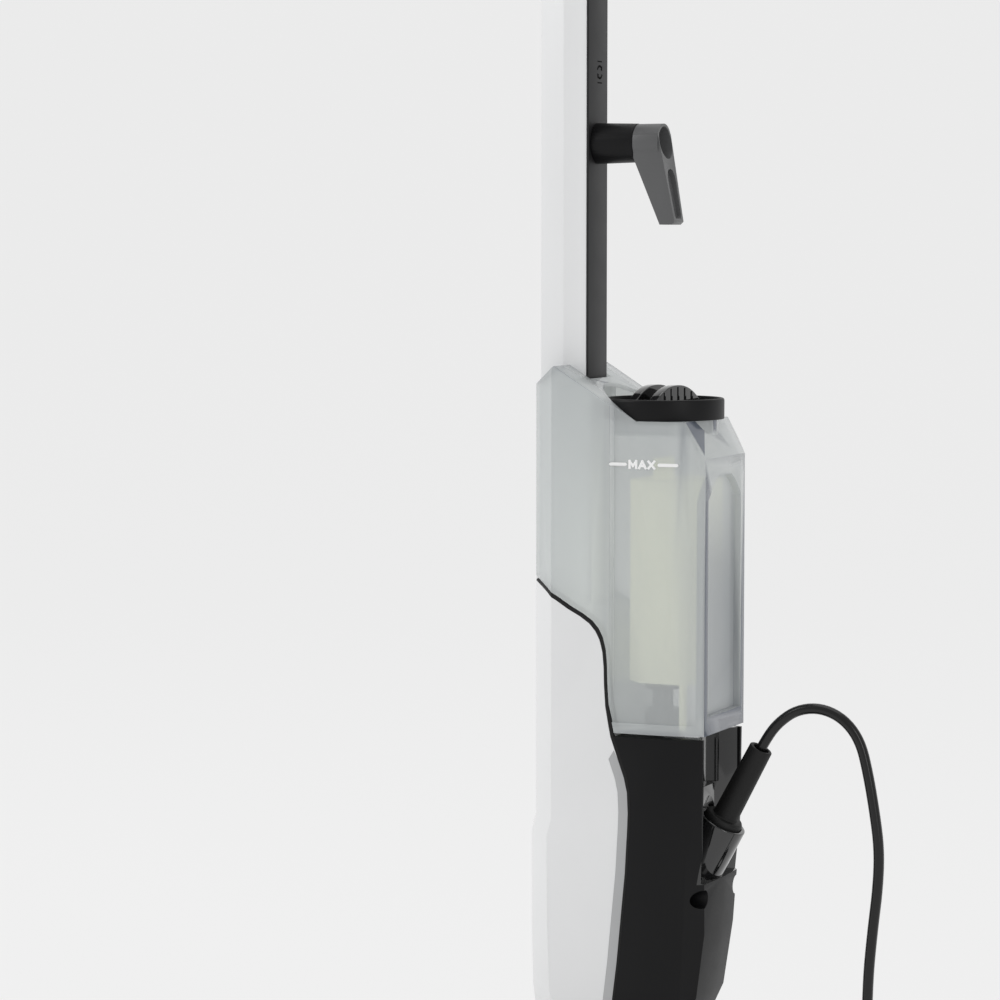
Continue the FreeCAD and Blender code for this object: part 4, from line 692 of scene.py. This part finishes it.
# %% [markdown]
# ## The mains cord
# The cord is a round rubber sheath, seven millimetres across and five metres long. It leaves
# its sleeve upwards, bends over and falls to the floor behind the mop, where the spare length
# is wound in a neat coil and tied. A NURBS curve whose control points are the route gives one
# smooth line; the coil's turns are worked out by a loop and belong to the same spline.

# %% Cord route
CORD_DIAMETER = 0.007
CORD_WAY = [(0, 115.41, 322.61), (0.2, 121.2, 333.5), (0.6, 129.8, 344.8), (1.0, 143.0, 354.2),
            (1.3, 159.6, 356.4), (1.4, 175.4, 350.0), (1.0, 186.4, 336.2), (0.5, 191.6, 315.5),
            (0.0, 196.0, 291.0), (0.0, 199.6, 266.0), (0.4, 199.0, 241.0), (1.2, 195.8, 212.0),
            (2.0, 193.2, 180.0), (2.6, 193.0, 140.0), (2.8, 195.5, 96.0), (2.4, 203.5, 53.0),
            (1.5, 219.5, 22.0), (0.6, 243.0, 8.0), (0.2, 272.0, 5.6), (0.0, 302.0, 5.2)]
COIL_TURNS_PER_LAYER = 4
COIL_LAYERS = 4
COIL_POINTS = 16
COIL_OUTER = 56.1
COIL_STEP = 7.05
COIL_BASE = 5.2
coil_x = -COIL_OUTER
coil_y = CORD_WAY[-1][1]


def coil_points():
    """Turns that spiral in and out by layers, a diameter apart, as (x, y, z) in millimetres."""
    points = []
    last = COIL_LAYERS * COIL_TURNS_PER_LAYER * COIL_POINTS - COIL_POINTS // 2
    for index in range(1, last + 1):
        turns = index / COIL_POINTS
        layer = min(int(turns // COIL_TURNS_PER_LAYER), COIL_LAYERS - 1)
        within = turns - layer * COIL_TURNS_PER_LAYER
        share = within / COIL_TURNS_PER_LAYER
        inward = share if layer % 2 == 0 else 1 - share
        radius = COIL_OUTER - inward * COIL_STEP * COIL_TURNS_PER_LAYER
        rise = min(1.0, within * 2.0) if layer else 1.0
        height = COIL_BASE + COIL_STEP * (layer - 1 + rise if layer else 0)
        angle = 2 * math.pi * turns
        points.append((coil_x + radius * math.cos(angle), coil_y + radius * math.sin(angle), height))
    return points


turns = coil_points()
end_x = turns[-1][0]
print("coil ends at", [round(v, 1) for v in turns[-1]])
TAIL = [(end_x - 0.4, coil_y - 26, 24.9), (end_x + 0.4, coil_y - 52, 19), (-2 * COIL_OUTER, coil_y - 78, 18)]
route = [Vector((x, y, z)) * MM + Vector((0, BODY_SHIFT, 0)) for x, y, z in CORD_WAY + turns + TAIL]

curve = bpy.data.curves.new("mains_cord", "CURVE")
curve.dimensions = "3D"
curve.bevel_depth = CORD_DIAMETER / 2
curve.bevel_resolution = 5
curve.use_fill_caps = True
curve.resolution_u = 5
spline = curve.splines.new("NURBS")
spline.points.add(len(route) - 1)
for point, place in zip(spline.points, route):
    point.co = (*place, 1)
spline.order_u = 3
spline.use_endpoint_u = True
cord = bpy.data.objects.new("mains_cord", curve)
scene.collection.objects.link(cord)
finish_piece(cord, "machine", SHEATH, ["cord_run", "cord_coil", "cord_tail"])

# %% [markdown]
# ## The floor cloth
# The microfibre cloth is a soft pad held under the nozzle by hook-and-loop strips. Its pile
# makes a rounded, slightly uneven edge. It could be simulated, but a pad this thin that is
# held flat all over has no folds to find, so its edge roll is a Bevel on a copy of its node.

# %% Cloth pad
def cloth_finish():
    material, tree, shader, where = new_material("microfibre_pile")
    loops = tree.nodes.new("ShaderNodeTexVoronoi")
    loops.inputs["Scale"].default_value = 520.0
    tree.links.new(where, loops.inputs["Vector"])
    cloud = noise(tree, where, 30.0, 4.0)
    tree.links.new(tint(tree, cloud, (0.60, 0.61, 0.62), (0.76, 0.77, 0.77)), shader.inputs["Base Color"])
    tree.links.new(bump(tree, loops.outputs["Distance"], 0.9, 0.0012), shader.inputs["Normal"])
    shader.inputs["Roughness"].default_value = 0.95
    shader.inputs["Sheen Weight"].default_value = 0.4
    return material


CLOTH = cloth_finish()
cloth = softened("floor_cloth", "microfibre_cloth", 2.6 * MM, 5, 30)
finish_piece(cloth, "nozzle", CLOTH, ["floor_cloth"])

# %% [markdown]
# ## Ready lamp
# A small amber lens tells that the boiler is hot. Its node is right as it is.

# %% Lamp finish
LENS = moulded("amber_lens", (0.75, 0.32, 0.06), 0.15, 300.0, 0.00002, 0.1, 0.5)
nodes["ready_lamp"].data.materials.clear()
nodes["ready_lamp"].data.materials.append(LENS)

# %% [markdown]
# ## Floor, backdrop and light
# The set is a pale sweep: a floor that curves up into a wall far behind, so no horizon line
# shows. The paper is lit from behind, as on a light table, so it glows evenly. Large soft
# lights from above and both sides give broad highlights on the gloss pieces, and an even
# world light keeps the shadows open.

# %% Stage
FLOOR_REACH = 30.0
BEND_START = 3.5
BEND_RADIUS = 2.5
BEND_STEPS = 12
WALL_TOP = 9.0


def sweep_set():
    """A floor that curves up into a far wall, facing the camera."""
    rows = []
    for step in range(BEND_STEPS + 1):
        bend = step / BEND_STEPS * math.pi / 2
        rows.append((BEND_START + BEND_RADIUS * math.sin(bend), BEND_RADIUS - BEND_RADIUS * math.cos(bend)))
    profile = [(-FLOOR_REACH, 0.0)] + rows + [(BEND_START + BEND_RADIUS, WALL_TOP)]
    verts = []
    for away, height in profile:
        for side in (-FLOOR_REACH, FLOOR_REACH):
            place = -toward_camera * away + image_right * side
            verts.append((place.x, place.y, height))
    faces = [(2 * i, 2 * i + 1, 2 * i + 3, 2 * i + 2) for i in range(len(profile) - 1)]
    return mesh_object("studio_sweep", verts, faces, 80)


PAPER, _, paper_shader, _ = new_material("studio_paper")
paper_shader.inputs["Roughness"].default_value = 0.9
paper_shader.inputs["Specular IOR Level"].default_value = 0.0
paper_shader.inputs["Base Color"].default_value = (0.16, 0.16, 0.16, 1)
paper_shader.inputs["Emission Color"].default_value = (1, 1, 1, 1)
paper_shader.inputs["Emission Strength"].default_value = 0.72
backdrop = sweep_set()
backdrop.data.materials.append(PAPER)


def soft_light(name, place, target, size, power):
    data = bpy.data.lights.new(name, "AREA")
    data.shape = "RECTANGLE"
    data.size, data.size_y = size
    data.energy = power
    lamp = bpy.data.objects.new(name, data)
    lamp.location = place
    lamp.rotation_euler = (Vector(target) - Vector(place)).to_track_quat("-Z", "Y").to_euler()
    scene.collection.objects.link(lamp)
    return lamp


middle = (0, 0, 0.5)
soft_light("key_light", (1.2, -2.6, 2.2), middle, (1.8, 1.8), 34)
soft_light("side_light", (1.9, 2.9, 1.5), middle, (0.9, 2.4), 18)
soft_light("top_light", (-0.3, 0, 3.6), middle, (2.6, 2.6), 22)
world = bpy.data.worlds.new("studio_world")
scene.world = world
world.use_nodes = True
world.node_tree.nodes["Background"].inputs["Color"].default_value = (1, 1, 1, 1)
world.node_tree.nodes["Background"].inputs["Strength"].default_value = 0.55
scene.view_settings.view_transform = "Standard"
